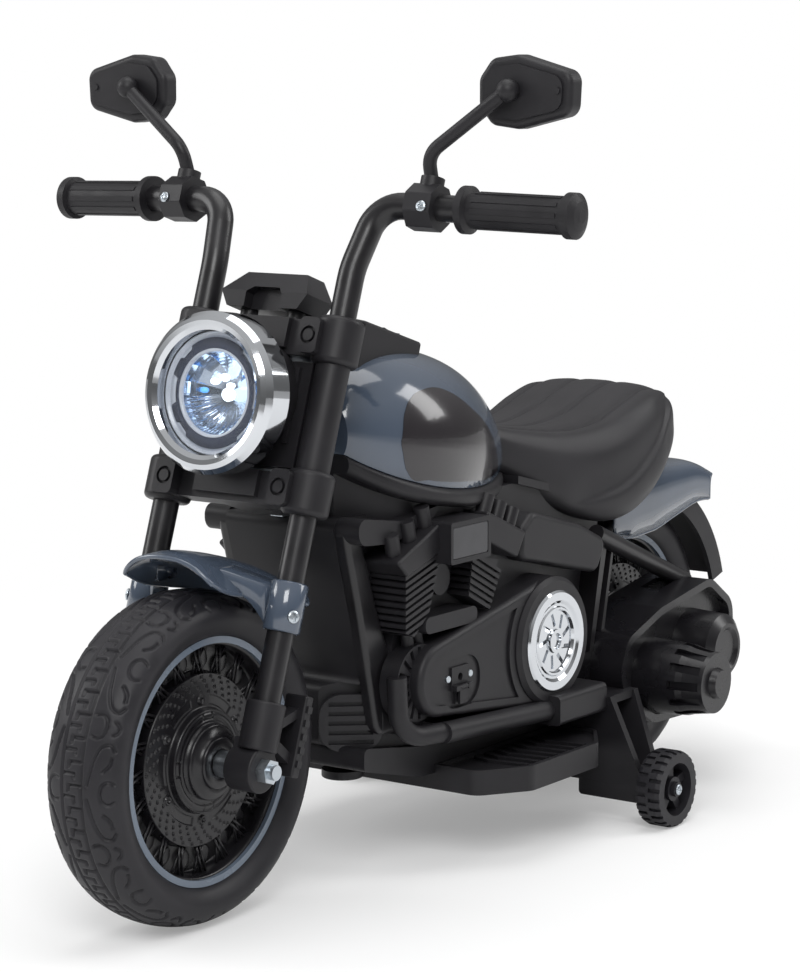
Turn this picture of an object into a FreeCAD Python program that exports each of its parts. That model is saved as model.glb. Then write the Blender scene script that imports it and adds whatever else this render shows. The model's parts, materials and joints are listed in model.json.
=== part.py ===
import FreeCAD, Part
import math
import os

V = FreeCAD.Vector
AXIS_X = V(1, 0, 0)
AXIS_Z = V(0, 0, 1)
ORIGIN = V(0, 0, 0)
FULL_TURN_DEG = 360.0
HALF_TURN_DEG = 180.0

# A child's electric motorbike. Its front faces -Y, its left side is +X and the floor is z = 0.

# Wheels and steering line
WHEEL_R = 111.0
FRONT_AXLE_Y = -292.6
REAR_AXLE_Y = 227.0
TAIL_Y = 350.0
RAKE_DEG = 19.0
STEER_OFFSET = 24.0
FORK_X = 58.0
TUBE_R = 9.0
TUBE_WALL = 1.6

# Fits and shared thicknesses
OVERRUN = 2.0
RUN_GAP = 0.05
LAY_GAP = 0.3
MOVE_GAP = 0.6
WALL = 3.0
TOUCH = 0.001
REACH_SHARE = 0.46

# Tyres, rims and hubs
TYRE_HALF_W = 30.0
TYRE_BEAD_HALF_W = 23.0
TYRE_BEAD_R = 82.5
TYRE_SIDE_R = 95.5
TYRE_SHOULDER_X = 20.0
TYRE_SHOULDER_R = 107.4
RIM_INNER_R = 78.0
RIM_FLANGE_W = 3.0
RIM_BED_T = 3.0
AXLE_R = 5.0
HUB_R = 17.0
HUB_HALF_W = 31.0
HUB_STEP_R = 34.0
HUB_STEP_X = 21.0
HUB_MID_R = 25.0
HUB_MID_X = 26.0
ROTOR_R = 57.0
ROTOR_X = 15.0
ROTOR_T = 3.0
ROTOR_HOLE_R = 1.6
ROTOR_HOLE_RING_RS = (45.5, 49.5, 53.5)
ROTOR_HOLE_COUNT = 18
ROTOR_BOLT_R = 3.0
ROTOR_BOLT_RING_R = 39.5
ROTOR_BOLT_H = 2.0
ROTOR_BOLT_COUNT = 6
WEB_HALF_T = 5.0
WEB_RING_W = 4.0
SPOKE_W = 3.2
SPOKE_HALF_X = 15.0
SPOKE_T = 4.0
SPOKE_PAIR_COUNT = 14
SPOKE_LEAN_DEG = 15.0

# Fork, clamps and handlebar, in the fork's own frame: z up the fork, y to the rear
CLAMP_SLEEVE_R = 16.0
CLAMP_EDGE_R = 4.0
LOWER_CLAMP_LOW = 166.8
LOWER_CLAMP_HIGH = 196.8
UPPER_CLAMP_LOW = 267.8
UPPER_CLAMP_HIGH = 299.8
CLAMP_BEAM_HALF_Y = 11.0
CLAMP_BEAM_INSET = 4.0
CLAMP_STEP_HALF_X = 26.0
CLAMP_STEP_Y = 4.0
CLAMP_EAR_X = 48.0
CLAMP_EAR_HALF_W = 8.0
CLAMP_EAR_Y = -20.6
CLAMP_EAR_RIM = 4.0
BOLT_HEAD_R = 4.0
BOLT_SINK = 2.5
CLAMP_TONGUE_HALF_X = 17.0
STEM_R = 8.0
STEM_BOSS_R = 13.0
HEAD_TUBE_R = 12.0
HEAD_GAP = 1.0
HEAD_PLATE_HALF_X = 5.0
HEAD_PLATE_REAR_Y = -150.0
HEAD_PLATE_TOP_Z = 283.0
HEAD_PLATE_RISE = 30.0
FORK_TUBE_LOW = 24.0
TUBE_SPLIT_Z = 283.8
SHROUD_R = 11.5
COWL_HALF_X = 47.0
COWL_FRONT_Y = -7.0
COWL_REAR_Y = 6.0
COWL_RIB_X = 36.0
COWL_RIB_W = 3.0
COWL_RIB_H = 3.0
BAR_KINK_Z = 333.8
BAR_TOP_Z = 379.8
BAR_CORNER_X = 66.0
BAR_CORNER_Y = 5.0
BAR_SWEEP_DEG = 4.0
BAR_KINK_BEND_R = 70.0
BAR_BEND_R = 33.0
BAR_END_X = 212.0
GRIP_IN_X = 131.0
GRIP_END_X = 218.0
GRIP_R = 12.0
GRIP_FLANGE_R = 15.8
GRIP_FLANGE_W = 5.0
GRIP_STEP_SHARES = (1.4, 2.2, 2.0, 0.8, 0.25)
GRIP_NOSE_SHARES = (0.8, 0.35)
GRIP_RIB_SHARES = (0.12, 0.16)
GRIP_END_R = 15.0
GRIP_RIB_COUNT = 10
GRIP_RIB_W = 3.2
GRIP_RIB_H = 1.0
MIRROR_CLAMP_X = 103.0
MIRROR_CLAMP_HALF_W = 10.0
MIRROR_CLAMP_R = 16.0
MIRROR_CLAMP_SIDES = 8
MIRROR_COLLAR_R = 8.0
MIRROR_COLLAR_H = 7.0
MIRROR_STEM_R = 4.6
MIRROR_STEM_RISE = 16.0
MIRROR_STEM_BEND_R = 46.0
MIRROR_STEM_LEAN_SHARE = 0.55

# Mirror head, upright beside its ball
BALL_X = 160.0
BALL_Y = -154.0
BALL_Z = 544.0
BALL_R = 7.5
MIRROR_IN_X = 132.0
MIRROR_OUT_X = 204.0
MIRROR_LOW_Z = 519.0
MIRROR_HIGH_Z = 567.0
MIRROR_SHARES = ((0.14, 0.05), (0.42, 0.0), (0.98, 0.20), (1.0, 0.76), (0.42, 1.0), (0.14, 0.95),
                 (0.0, 0.68), (0.0, 0.30))
MIRROR_T = 13.0
MIRROR_GAP_Y = 0.6
MIRROR_CORNER_R = 9.0
MIRROR_EDGE_R = 4.0
MIRROR_PANEL_INSET = 6.0
MIRROR_PANEL_H = 1.4
MIRROR_GLASS_INSET = 4.0
MIRROR_GLASS_SINK = 1.2
MIRROR_STUD_R = 2.2
MIRROR_STUD_X = 194.0
MIRROR_STUD_H = 1.0

# Headlight, along its own axis from the glass outwards
LAMP_Y = -266.5
LAMP_Z = 349.0
LAMP_TILT_DEG = 7.4
LAMP_RING_R = 53.5
LAMP_RING_IN_R = 41.0
LAMP_RING_DEPTH = 20.0
LAMP_RING_CROWN = 3.0
LAMP_RING_RISE_SHARES = (0.8, 0.3)
LAMP_GLASS_T = 3.0
LAMP_GLASS_SINK = 4.0
LAMP_GLASS_CROWN = 2.0
LAMP_GLASS_SHARES = (0.62, 0.6)
LAMP_BUCKET_R = 49.0
LAMP_BUCKET_END_R = 38.0
LAMP_BUCKET_DEPTH = 52.0
LAMP_BOWL_DEPTH = 26.0
LAMP_BOWL_IN_SHARES = (0.66, 0.34)
LAMP_BOWL_OUT_SHARES = (0.70, 0.26)
LAMP_BOWL_END_R = 11.0
LAMP_BOWL_T = 2.0
LAMP_BULB_R = 5.0
LAMP_BULB_H = 9.0

# Instrument block above the upper clamp
BLOCK_HALF_X = 36.0
BLOCK_LOW = 301.8
BLOCK_HIGH = 327.8
BLOCK_FRONT_Y = -14.0
BLOCK_REAR_Y = 16.0
BLOCK_BEVEL = 11.0
BLOCK_FOOT_SHARE = 0.6
BLOCK_SHOULDER_SHARE = 1.4
BLOCK_NOTCH_RISE_SHARES = (0.9, 1.3)
BLOCK_NOTCH_TOP_SHARE = 0.7
BLOCK_NOTCH_HALF_X = 15.0
BLOCK_NOTCH_DEPTH = 9.0
BLOCK_POST_R = 6.0
BLOCK_POST_X = 20.0

# Fork ends and front fender, in the fork's frame
END_SOCKET_R = 13.0
END_NECK_SHARE = 0.7
END_SOCKET_LOW = 12.0
END_SOCKET_HIGH = 44.0
END_BOSS_R = 15.0
END_BOSS_IN_X = 45.0
END_BOSS_OUT_X = 66.0
END_PLATE_Y = 30.0
END_PLATE_Z = 27.0
END_PLATE_T = 8.0
END_PLATE_HALF_H = 27.0
END_PLATE_HALF_X = 9.0
END_ARM_T = 7.0
END_ARM_RISE = 17.0
END_RIB_COUNT = 5
END_RIB_H = 1.6
END_RIB_SHARE = 0.5
END_RIB_Y_SHARES = (0.2, 0.8)
NUT_R = 8.5
NUT_T = 7.0
NUT_SIDES = 6
SPACER_SHARE = 0.6
AXLE_STUB = 4.0
FENDER_HALF_W = 40.0
FENDER_CROWN = 16.0
FENDER_T = 2.6
FENDER_REACH_Y = 66.0
FENDER_REACH_Z = 118.0
FENDER_TOP_Y = -36.0
FENDER_TOP_Z = 133.0
FENDER_BACK_Y = 32.0
FENDER_BACK_Z = 130.0
FENDER_END_Y = 62.0
FENDER_END_Z = 117.0
FENDER_BEND_R = 90.0
FENDER_FRONT_DROP = 3.0
FENDER_NOSE_R = 38.0
FENDER_TAIL_R = 16.0
SLEEVE_R = 12.4
SLEEVE_LOW = 90.0
SLEEVE_HIGH = 123.0
SLEEVE_ARM_T = 7.0
SLEEVE_ARM_HALF_Y = 15.0

# Body core: two moulded halves, flat on their sides
CORE_HALF_X = 46.0
CORE_TOP_Z = 258.0
CORE_FRONT_TOP_Y = -192.0
CORE_WAIST_Y = -158.0
CORE_WAIST_Z = 142.0
CORE_NOSE_Y = -170.0
CORE_NOSE_Z = 98.0
CORE_FLOOR_Z = 80.0
CORE_FLOOR_FRONT_Y = -100.0
CORE_REAR_Y = 108.0
CORE_SADDLE_Y = 30.0
CORE_TAIL_Y = 150.0
CORE_TAIL_Z = 228.0
CORE_CORNER_R = 6.0
CORE_NOSE_FLAT_X = 18.0
CORE_NOSE_BACK_Y = -146.0
CORE_ROOM_FRONT_Y = -128.0
ARCH_R = 121.0

# Tank, from sections along the bike
TANK_FRONT_Y = -170.0
TANK_REAR_Y = 55.0
TANK_HALF_W = 75.0
TANK_TOP_Z = 367.0
TANK_RIM_Z = 265.0
TANK_STATION_SHARES = (0.0, 0.10, 0.31, 0.56, 0.80, 1.0)
TANK_WIDTH_SHARES = (0.58, 0.82, 1.0, 0.92, 0.63, 0.24)
TANK_RIM_SHARES = (0.35, 0.22, 0.08, 0.01, 0.0, 0.03)
TANK_CROWN_SHARES = (0.80, 0.94, 1.0, 0.91, 0.64, 0.24)
TANK_SECTION_SHARES = ((0.93, 0.0), (1.0, 0.28), (0.90, 0.62), (0.58, 0.90), (0.0, 1.0))
BEAD_OUT = 4.0
BEAD_H = 13.0
BEAD_R = 5.5
BOWL_IN = 9.0
BOWL_LOW_Z = 246.0
BAND_OUT_X = 66.0
BAND_FRONT_Y = -188.0
BAND_REAR_Y = -88.0
BAND_LOW_Z = 238.0
BAND_HIGH_Z = 262.0
BAND_SHARES = ((0.0, 0.20), (0.40, 0.06), (0.86, 0.55), (0.98, 0.92), (0.50, 0.65), (0.0, 0.97))
BAND_CORNER_R = 9.0

# Dash panel with its switches, tilted towards the rider
DASH_Y = -104.0
DASH_Z = 379.0
DASH_TILT_DEG = -17.0
DASH_HALF_X = 33.0
DASH_HALF_Y = 42.0
DASH_T = 34.0
DASH_BEVEL = 11.0
DASH_EDGE_R = 2.5
ROCKER_X = 17.0
ROCKER_Y = 14.0
ROCKER_HALF_X = 6.0
ROCKER_HALF_Y = 9.5
ROCKER_TRAVEL_DEG = 7.0
ROCKER_PROUD = 2.6
ROCKER_DEPTH = 7.0
ROCKER_PIN_R = 1.4
ROCKER_PIN_L = 2.0
HORN_R = 7.0
HORN_PROUD = 4.0
HORN_DEPTH = 9.0
HORN_FLANGE_R = 10.0
HORN_FLANGE_T = 1.6
HORN_PLAY = LAY_GAP / 3
HORN_TRAVEL = 2.0
HORN_Y = 14.0

# Seat and its base
SEAT_FRONT_Y = 24.0
SEAT_REAR_Y = 258.0
SEAT_HALF_W = 70.0
SEAT_LOW_Z = 218.0
SEAT_TOP_Z = 315.0
SEAT_STATION_SHARES = (0.0, 0.16, 0.35, 0.52, 0.67, 0.80, 0.92, 1.0)
SEAT_WIDTH_SHARES = (0.47, 0.67, 0.84, 0.96, 1.0, 0.97, 0.82, 0.52)
SEAT_LOW_SHARES = (0.54, 0.28, 0.08, 0.0, 0.07, 0.24, 0.50, 0.64)
SEAT_TOP_SHARES = (0.86, 0.80, 0.77, 0.83, 0.94, 1.0, 0.94, 0.82)
SEAT_SHOULDER_SHARE = 0.50
SEAT_TOP_WIDTH_SHARE = 0.84
SEAT_FOOT_WIDTH_SHARE = 0.93
SEAT_CROWN_SHARES = (0.80, 0.76, 0.74, 0.76, 0.82, 0.87, 0.85, 0.80)
SEAT_CHANNEL_W = 3.0
SEAT_CHANNEL_DEPTH = 2.4
SEAT_CHANNEL_X_SHARES = (0.22, 0.66)
SEAT_CHANNEL_END_SHARES = (0.93, 0.70)
SEAT_CHANNEL_FAN_SHARES = ((0.04, 0.42), (0.25, 0.74), (0.52, 1.0), (1.0, 1.0))
SEAT_PLATE_T = 6.0
SEAT_PLATE_HALF_X = 50.0
SEAT_PLATE_END_Y = 236.0
SEAT_PLATE_HIGH_Y = 196.0
SEAT_PLATE_HIGH_Z = 246.0

# Rear fender and the mudguard inside it
TAIL_Z = 212.0
REAR_FENDER_HALF_W = 47.0
REAR_FENDER_CROWN = 14.0
REAR_FENDER_T = 3.0
REAR_FENDER_START_Y = 172.0
REAR_FENDER_START_Z = 229.0
REAR_FENDER_RISE_Y = 206.0
REAR_FENDER_TOP_Z = 247.5
REAR_FENDER_BACK_Y = 300.0
REAR_FENDER_BEND_Y = 336.0
REAR_FENDER_BEND_Z = 234.0
REAR_FENDER_BEND_R = 60.0
REAR_FENDER_LOW_Z = 190.0
REAR_FENDER_EDGE_SHARES = ((1.0, 0.22), (0.90, 0.40), (0.70, 0.52), (0.50, 0.36), (0.32, 0.08), (0.0, 0.20))
MUDGUARD_R = 121.0
MUDGUARD_T = 4.0
MUDGUARD_HALF_W = REAR_FENDER_HALF_W - REAR_FENDER_T
MUDGUARD_SIDE = 13.0
MUDGUARD_FROM_DEG = 17.0
MUDGUARD_TO_DEG = 84.0

# Swing-arm housings, motor and gears
ARM_IN_X = 36.0
ARM_COVER_X = 66.0
ARM_FACE_X = 82.0
ARM_LIP_X = 90.0
ARM_LIP_W = 6.0
ARM_CORNER_R = 20.0
ARM_FRONT_Y = 110.0
ARM_REAR_Y = 284.0
ARM_LOW_Z = 58.0
ARM_HIGH_Z = 162.0
ARM_SHARES = ((0.0, 0.48), (0.06, 0.72), (0.34, 0.88), (0.78, 1.0), (0.98, 0.78), (1.0, 0.36), (0.84, 0.0),
              (0.30, 0.03), (0.06, 0.24))
ARM_LUG_FRONT_Y = 84.0
ARM_LUG_LOW_Z = 92.0
ARM_LUG_HIGH_Z = 122.0
ARM_LUG_OUT_X = 62.0
ARM_LUG_CORNER_R = ARM_CORNER_R / 3
REAR_AXLE_R = 6.0
REAR_AXLE_HALF = 92.0
MOTOR_DROP = 14.0
GEAR_MODULE = 1.5
GEAR_TEETH = 60
PINION_TEETH = 20
GEAR_W = 8.0
GEAR_IN_X = 51.0
GEAR_HUB_R = 16.0
GEAR_ROOM = 2.5
TOOTH_ROOT_SHARE = 0.56
TOOTH_TIP_SHARE = 0.24
TOOTH_TIP_HEIGHT_SHARE = 0.90
TOOTH_ROOT_DEPTH_SHARE = 1.35
MOTOR_R = 19.0
MOTOR_IN_X = 70.0
MOTOR_L = 60.0
MOTOR_SHAFT_R = 2.5
MOTOR_SHAFT_SEAT = 12.0
CAN_R = 29.5
CAN_END_R = 25.5
CAN_STEP_X = 118.0
CAN_END_X = 144.0
CAN_BOSS_R = 12.0
CAN_BOSS_H = 5.0
CAN_BOSS_EDGE = CAN_BOSS_H / 3
CAN_GROOVE_END_SHARE = 1.6
CAN_RIB_COUNT = 12
CAN_RIB_W = 6.5
CAN_RIB_DEPTH = 2.6
CAP_R = 28.5
CAP_END_R = 25.0
CAP_FACE_X = 116.0
CAP_BEVEL = 5.0
CAP_DRAFT = CAP_BEVEL / 3
CAP_HOLE_R = 17.0
CAP_HOLE_DEPTH = 16.0

# Engine covers on the flat sides of the core
CASE_OUT_X = 58.0
CASE_FRONT_Y = -148.0
CASE_REAR_Y = 62.0
CASE_LOW_Z = 100.0
CASE_HIGH_Z = 226.0
CASE_SHARES = ((0.02, 0.30), (0.06, 0.70), (0.20, 0.98), (0.86, 1.0), (0.98, 0.62), (1.0, 0.16), (0.90, 0.0),
               (0.10, 0.0))
CASE_CORNER_R = 12.0
CYL_FIN_T = 2.6
CYL_FIN_GAP = 2.0
CYL_CORE_IN = 3.0
CYL_OUT_X = 76.0
CYL_HEAD_OUT_X = 78.0
CYL_EDGE_R = 2.0
FRONT_CYL_FRONT_Y = -160.0
FRONT_CYL_REAR_Y = -104.0
FRONT_CYL_LOW_Z = 174.0
FRONT_CYL_HIGH_Z = 252.0
FRONT_CYL_LEAN_DEG = 15.5
FRONT_HEAD_SHARES = ((0.0, 0.70), (1.0, 1.0), (1.0, 0.73), (0.21, 0.56))
FRONT_BARREL_SHARES = ((0.21, 0.56), (0.98, 0.72), (0.85, 0.47), (0.70, 0.18), (0.39, 0.01), (0.21, 0.06))
REAR_CYL_FRONT_Y = -73.0
REAR_CYL_REAR_Y = 0.0
REAR_CYL_LOW_Z = 178.0
REAR_CYL_HIGH_Z = 248.0
REAR_CYL_LEAN_DEG = -27.0
REAR_HEAD_SHARES = ((0.30, 1.04), (0.975, 0.74), (0.825, 0.49), (0.30, 0.73))
REAR_BARREL_SHARES = ((0.09, 0.66), (0.64, 0.53), (0.36, 0.0), (0.01, 0.21))
STUB_X = 67.0
STUB_R = 5.5
STUB_H = 14.0
STUB_SINK = 3.0
STUB_SHARES = (0.18, 0.50, 0.82)
PUSHROD_R = 4.5
PUSHROD_X = 64.0
PUSHROD_SPREAD = 11.0
PUSHROD_TOP_Y = -134.0
PUSHROD_TOP_Z = 186.0
PUSHROD_FOOT_Y = -124.0
PUSHROD_FOOT_Z = 148.0
INTAKE_Y = -92.0
INTAKE_Z = 207.0
INTAKE_R = 11.0
INTAKE_X = 66.0
CAPSULE_FRONT_Y = -126.0
CAPSULE_REAR_Y = -63.0
CAPSULE_Z = 180.0
CAPSULE_R = 5.8
CAPSULE_OUT_X = 77.0
TIMING_Y = -125.0
TIMING_Z = 140.0
TIMING_R = 27.0
TIMING_OUT_X = 71.0
TIMING_EYE_R = 13.0
TIMING_RIB_COUNT = 16
TIMING_SLOT_W = 3.4
TIMING_SLOT_DEPTH = 3.0
FILTER_Y = -87.0
FILTER_Z = 236.0
FILTER_HALF_Y = 24.5
FILTER_HALF_Z = 14.5
FILTER_OUT_X = 88.0
FILTER_CORNER_R = 2.0
FILTER_PLATE_IN = 3.5
FILTER_PLATE_LEFT = 2.5
FILTER_PLATE_SINK = 1.0
PRIMARY_OUT_X = 80.0
PRIMARY_FRONT_Y = -110.0
PRIMARY_FRONT_Z = 140.4
PRIMARY_FRONT_R = 26.0
DISC_Y = 28.0
DISC_Z = 146.0
DISC_HOUSING_R = 47.0
DISC_HOUSING_X = 84.0
DISC_R = 37.2
DISC_SINK = 6.0
DISC_CROWN = 5.0
DISC_STEP_SHARES = ((0.1, 1.0), (0.4, 0.96), (0.4, 0.80), (0.12, 0.74), (0.12, 0.69), (0.34, 0.665),
                    (0.34, 0.625),
                    (-0.1, 0.60), (-0.1, 0.24), (0.30, 0.23), (0.30, 0.16), (-0.1, 0.15), (-0.1, 0.0))
DISC_VANE_FROM_SHARE = 0.29
DISC_VANE_TO_SHARE = 0.56
DISC_VANE_COUNT = 9
DISC_VANE_W = 3.2
DISC_VANE_DEPTH = 2.4
DISC_VANE_LEAN_DEG = 24.0
PRIMARY_EDGE_R = 4.0
PRIMARY_STEP_H = 3.0
PRIMARY_PANEL_IN = 8.0
PRIMARY_PANEL_SINK = 2.0
PRIMARY_PANEL_GAP = 7.0
PORT_Y = -85.2
PORT_Z = 135.2
PORT_R = 17.6
PORT_HALF_Y = 24.4
PORT_SINK = 3.6
SOCKET_HALF_Y = 10.4
SOCKET_HEAD_LOW = -5.6
SOCKET_HEAD_HIGH = 11.0
SOCKET_LEG_HALF_Y = 6.0
SOCKET_LEG_LOW = -15.4
SOCKET_PROUD = 1.5
SOCKET_JACK_R = 2.8
SOCKET_JACK_Z = 3.4
SOCKET_JACK_DEPTH = 11.0
SOCKET_BODY_R = 6.0
FLAP_T = 1.8
FLAP_L = 11.6
FLAP_HALF_Y = 4.6
FLAP_PIN_R = 1.3
FLAP_KNUCKLE_R = 1.9
FLAP_PIN_Z = -3.4
SCREW_R = 2.6
SCREW_H = 1.4
PORT_SCREW_Y = 13.6
BOX_OUT_X = 72.0
BOX_FRONT_Y = 0.0
BOX_REAR_Y = 120.0
BOX_LOW_Z = 182.0
BOX_HIGH_Z = 242.0
BOX_SHARES = ((0.0, 0.43), (0.02, 0.80), (0.15, 0.98), (0.68, 0.70), (1.0, 0.42), (0.88, 0.03))
BOX_CORNER_R = 9.0
BOX_EDGE_R = 4.0
PIPE_R = 7.5
PIPE_X = 82.0
PIPE_FRONT_Z = 104.0
PIPE_Z = 96.0
ELBOW_R = 7.0
ELBOW_TOP_Y = -149.0
ELBOW_TOP_Z = 148.0
ELBOW_X = 69.0
ELBOW_BEND_Y = -146.0
ELBOW_BEND_R = 24.0
PIPE_FRONT_Y = -112.0
PIPE_REAR_Y = 20.0
MUFFLER_REAR_Y = 84.0
MUFFLER_HALF_X = 12.0
MUFFLER_HALF_Z = 11.0
MUFFLER_R = 4.0

# Front frame: down tubes, elbows and the ribbed lower panels
DOWN_OUT_X = 55.0
DOWN_FRONT_Y = -190.0
DOWN_REAR_Y = -112.0
DOWN_LOW_Z = 104.0
DOWN_HIGH_Z = 255.0
DOWN_SHARES = ((0.0, 1.0), (0.23, 1.0), (0.52, 0.57), (0.85, 0.19), (1.0, 0.0), (0.50, 0.0), (0.41, 0.20),
               (0.23, 0.57))
DOWN_CORNER_R = 10.0
DOWN_EDGE_R = 4.0
GRILLE_Z = 114.0
GRILLE_HALF_X = 22.0
GRILLE_HALF_Z = 20.0
GRILLE_T = 6.0
GRILLE_R = 16.0
GRILLE_SLOT_COUNT = 5
GRILLE_SLOT_H = 3.0
GRILLE_SLOT_DEPTH = 2.5
GRILLE_SLOT_SHARE = 0.70

# Rear stays, footboard tray and training arms
STAY_X = 62.0
STAY_R = 7.0
STAY_TOP_Y = 118.0
STAY_TOP_Z = 211.0
STAY_END_Y = 252.0
STAY_END_Z = 156.0
STRUT_HALF_Y = 9.0
STRUT_OUT_X = 62.0
STRUT_TOP_Y = 138.0
STRUT_TOP_Z = 206.0
STRUT_LOW_Y = 120.0
STRUT_LOW_Z = 122.0
STRUT_GROOVE_HALF_Y = 4.0
STRUT_GROOVE_DEPTH = 6.0
BOARD_TOP_Z = 72.0
BOARD_T = 18.0
BOARD_OUT_X = 113.0
BOARD_FRONT_Y = -82.0
BOARD_REAR_Y = 78.0
BOARD_CHAMFER_X = 24.0
BOARD_CHAMFER_Y = 36.0
BOARD_SKIRT_X = 56.0
PAN_HALF_X = 54.0
PAN_FRONT_Y = -166.0
PAN_FRONT_LOW_Z = 83.0
PAN_FRONT_HIGH_Z = 99.0
PAN_BEND_Y = -98.0
PAN_LOW_Z = 66.0
PAN_REAR_Y = 98.0
PAN_HIGH_Z = 88.0
PAN_CORNER_R = 4.0
BOARD_CORNER_R = 12.0
BOARD_RIM_W = 4.0
BOARD_RIM_H = 3.0
BOARD_RIDGE_DROP = BOARD_RIM_H / 3
BOARD_RIDGE_INSET = 3 * BOARD_RIM_W
BOARD_HOLLOW_T = 4.0
BOARD_GROOVE_COUNT = 7
BOARD_GROOVE_W = 4.0
BOARD_GROOVE_SHARE = 0.34
SUMP_R = 15.0
SUMP_H = 3.0
SUMP_Y = -118.0
TRAIN_R = 28.7
TRAIN_Y = 104.0
TRAIN_IN_X = 124.0
TRAIN_OUT_X = 144.0
TRAIN_RIM_W = 9.0
TRAIN_WEB_T = 8.0
TRAIN_HUB_R = 9.0
TRAIN_SPOKE_COUNT = 5
TRAIN_SPOKE_W = 7.0
TRAIN_TREAD_COUNT = 24
TRAIN_TREAD_W = 3.0
TRAIN_TREAD_DEPTH = 1.2
TRAIN_NOTCH_DEPTH = 2.0
TRAIN_AXLE_R = 4.0
TRAIN_BLOCK_IN_X = 66.0
TRAIN_BLOCK_OUT_X = 119.0
TRAIN_BLOCK_LOW = 17.0
TRAIN_BLOCK_HIGH = 41.0
TRAIN_BLOCK_HALF_Y = 13.0
TRAIN_WASHER_R = 7.0
TRAIN_LEG_T = 6.0
TRAIN_LEG_TOP_IN_X = 46.0
TRAIN_LEG_TOP_OUT_X = 96.0
TRAIN_LEG_TOP_Z = 96.0
TRAIN_LEG_SPREAD = 17.0
TRAIN_HEAD_R = 5.5
TRAIN_HEAD_H = 3.0

# Foot pedal on the right-hand board
PEDAL_X = -90.0
PEDAL_HALF_X = 15.0
PEDAL_FRONT_Y = -52.0
PEDAL_PIN_Y = 14.0
PEDAL_T = 5.0
PEDAL_RISE_DEG = 8.0
PEDAL_PIN_Z = 77.0
PEDAL_PIN_R = 2.5
PEDAL_BARREL_R = 5.0
PEDAL_LUG_T = 4.0
PEDAL_LUG_GAP = 0.5
PEDAL_RIB_COUNT = 5
PEDAL_RIB_H = 1.5
PEDAL_RIB_SHARE = 0.45

# Battery and control board inside the core
BATTERY_HALF_X = 24.0
BATTERY_L = 72.0
BATTERY_H = 102.0
BATTERY_Y = -50.0
TERMINAL_HALF_X = 2.5
TERMINAL_HALF_Y = 3.5
TERMINAL_H = 4.0
BOARD_L = 64.0
BOARD_H = 46.0
BOARD_PLATE_T = 1.6
BOARD_Y = 20.0
BOARD_Z = 160.0
RELAY_L = 18.0
RELAY_T = 14.0

AXLE_Z = WHEEL_R
FORK = FreeCAD.Placement(V(0, FRONT_AXLE_Y, AXLE_Z), FreeCAD.Rotation(AXIS_X, -RAKE_DEG))
DASH = FreeCAD.Placement(V(0, DASH_Y, DASH_Z), FreeCAD.Rotation(AXIS_X, DASH_TILT_DEG))
BAR = FORK.multiply(FreeCAD.Placement(V(BAR_CORNER_X, BAR_CORNER_Y, BAR_TOP_Z),
                                      FreeCAD.Rotation(AXIS_Z, BAR_SWEEP_DEG)))
LAMP_NORMAL = V(0, -math.cos(math.radians(LAMP_TILT_DEG)), math.sin(math.radians(LAMP_TILT_DEG)))
LAMP = FreeCAD.Placement(V(0, LAMP_Y, LAMP_Z), FreeCAD.Rotation(AXIS_Z, LAMP_NORMAL))
GEAR_DISTANCE = GEAR_MODULE * (GEAR_TEETH + PINION_TEETH) / 2
MOTOR_Z = AXLE_Z - MOTOR_DROP
MOTOR_Y = REAR_AXLE_Y - math.sqrt(GEAR_DISTANCE ** 2 - MOTOR_DROP ** 2)
CORE_INNER_X = CORE_HALF_X - WALL
CENTRE_Y = (WHEEL_R - FRONT_AXLE_Y - TAIL_Y) / 2


def lift(pair, axis, level):
    a, b = pair
    return {"x": V(level, a, b), "y": V(a, level, b), "z": V(a, b, level)}[axis]


def corner_arcs(points, radius, closed):
    """Edges through the points: straight runs joined by tangent arcs of the radius."""
    count = len(points)
    ends = []
    for i, here in enumerate(points):
        if not closed and i in (0, count - 1):
            ends.append((here, None, here))
            continue
        before = points[i - 1] - here
        after = points[(i + 1) % count] - here
        reach = min(before.Length, after.Length) * REACH_SHARE
        back = V(before).normalize()
        ahead = V(after).normalize()
        half = back.getAngle(ahead) / 2
        run = min(radius / math.tan(half), reach)
        bend = run * math.tan(half)
        inward = (back + ahead).normalize()
        ends.append((here + back * run, here + inward * (bend / math.sin(half) - bend), here + ahead * run))
    edges = []
    for i, (start, middle, end) in enumerate(ends):
        if middle is not None:
            edges.append(Part.Arc(start, middle, end).toShape())
        if closed or i < count - 1:
            follow = ends[(i + 1) % count][0]
            if (follow - end).Length > TOUCH:
                edges.append(Part.LineSegment(end, follow).toShape())
    return edges


def outline(points, radius):
    return Part.Wire(corner_arcs(points, radius, True))


def prism(pairs, low, high, radius, axis="x"):
    """Rounded outline, drawn square to the axis and raised along it."""
    points = [lift(pair, axis, low) for pair in pairs]
    wire = outline(points, radius) if radius else Part.makePolygon(points + points[:1])
    return Part.Face(wire).extrude(lift((0, 0), axis, high - low))


def spread(shares, low, high):
    """Points given as shares of the span between two corners."""
    return [(low[0] + a * (high[0] - low[0]), low[1] + b * (high[1] - low[1])) for a, b in shares]


def block(low, high):
    size = V(*high) - V(*low)
    return Part.makeBox(size.x, size.y, size.z, V(*low))


def rod(radius, start, end):
    along = V(*end) - V(*start)
    return Part.makeCylinder(radius, along.Length, V(*start), along)


def turned(profile, y, z):
    """Solid of revolution about an X axis through y, z; the profile is (x, radius) pairs."""
    points = [V(x, y, z + r) for x, r in profile]
    return Part.Face(Part.makePolygon(points + points[:1])).revolve(V(0, y, z), AXIS_X, FULL_TURN_DEG)


def turned_up(profile):
    """Solid of revolution about Z; the profile is (radius, height) pairs."""
    points = [V(r, 0, h) for r, h in profile]
    return Part.Face(Part.makePolygon(points + points[:1])).revolve(ORIGIN, AXIS_Z, FULL_TURN_DEG)


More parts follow.
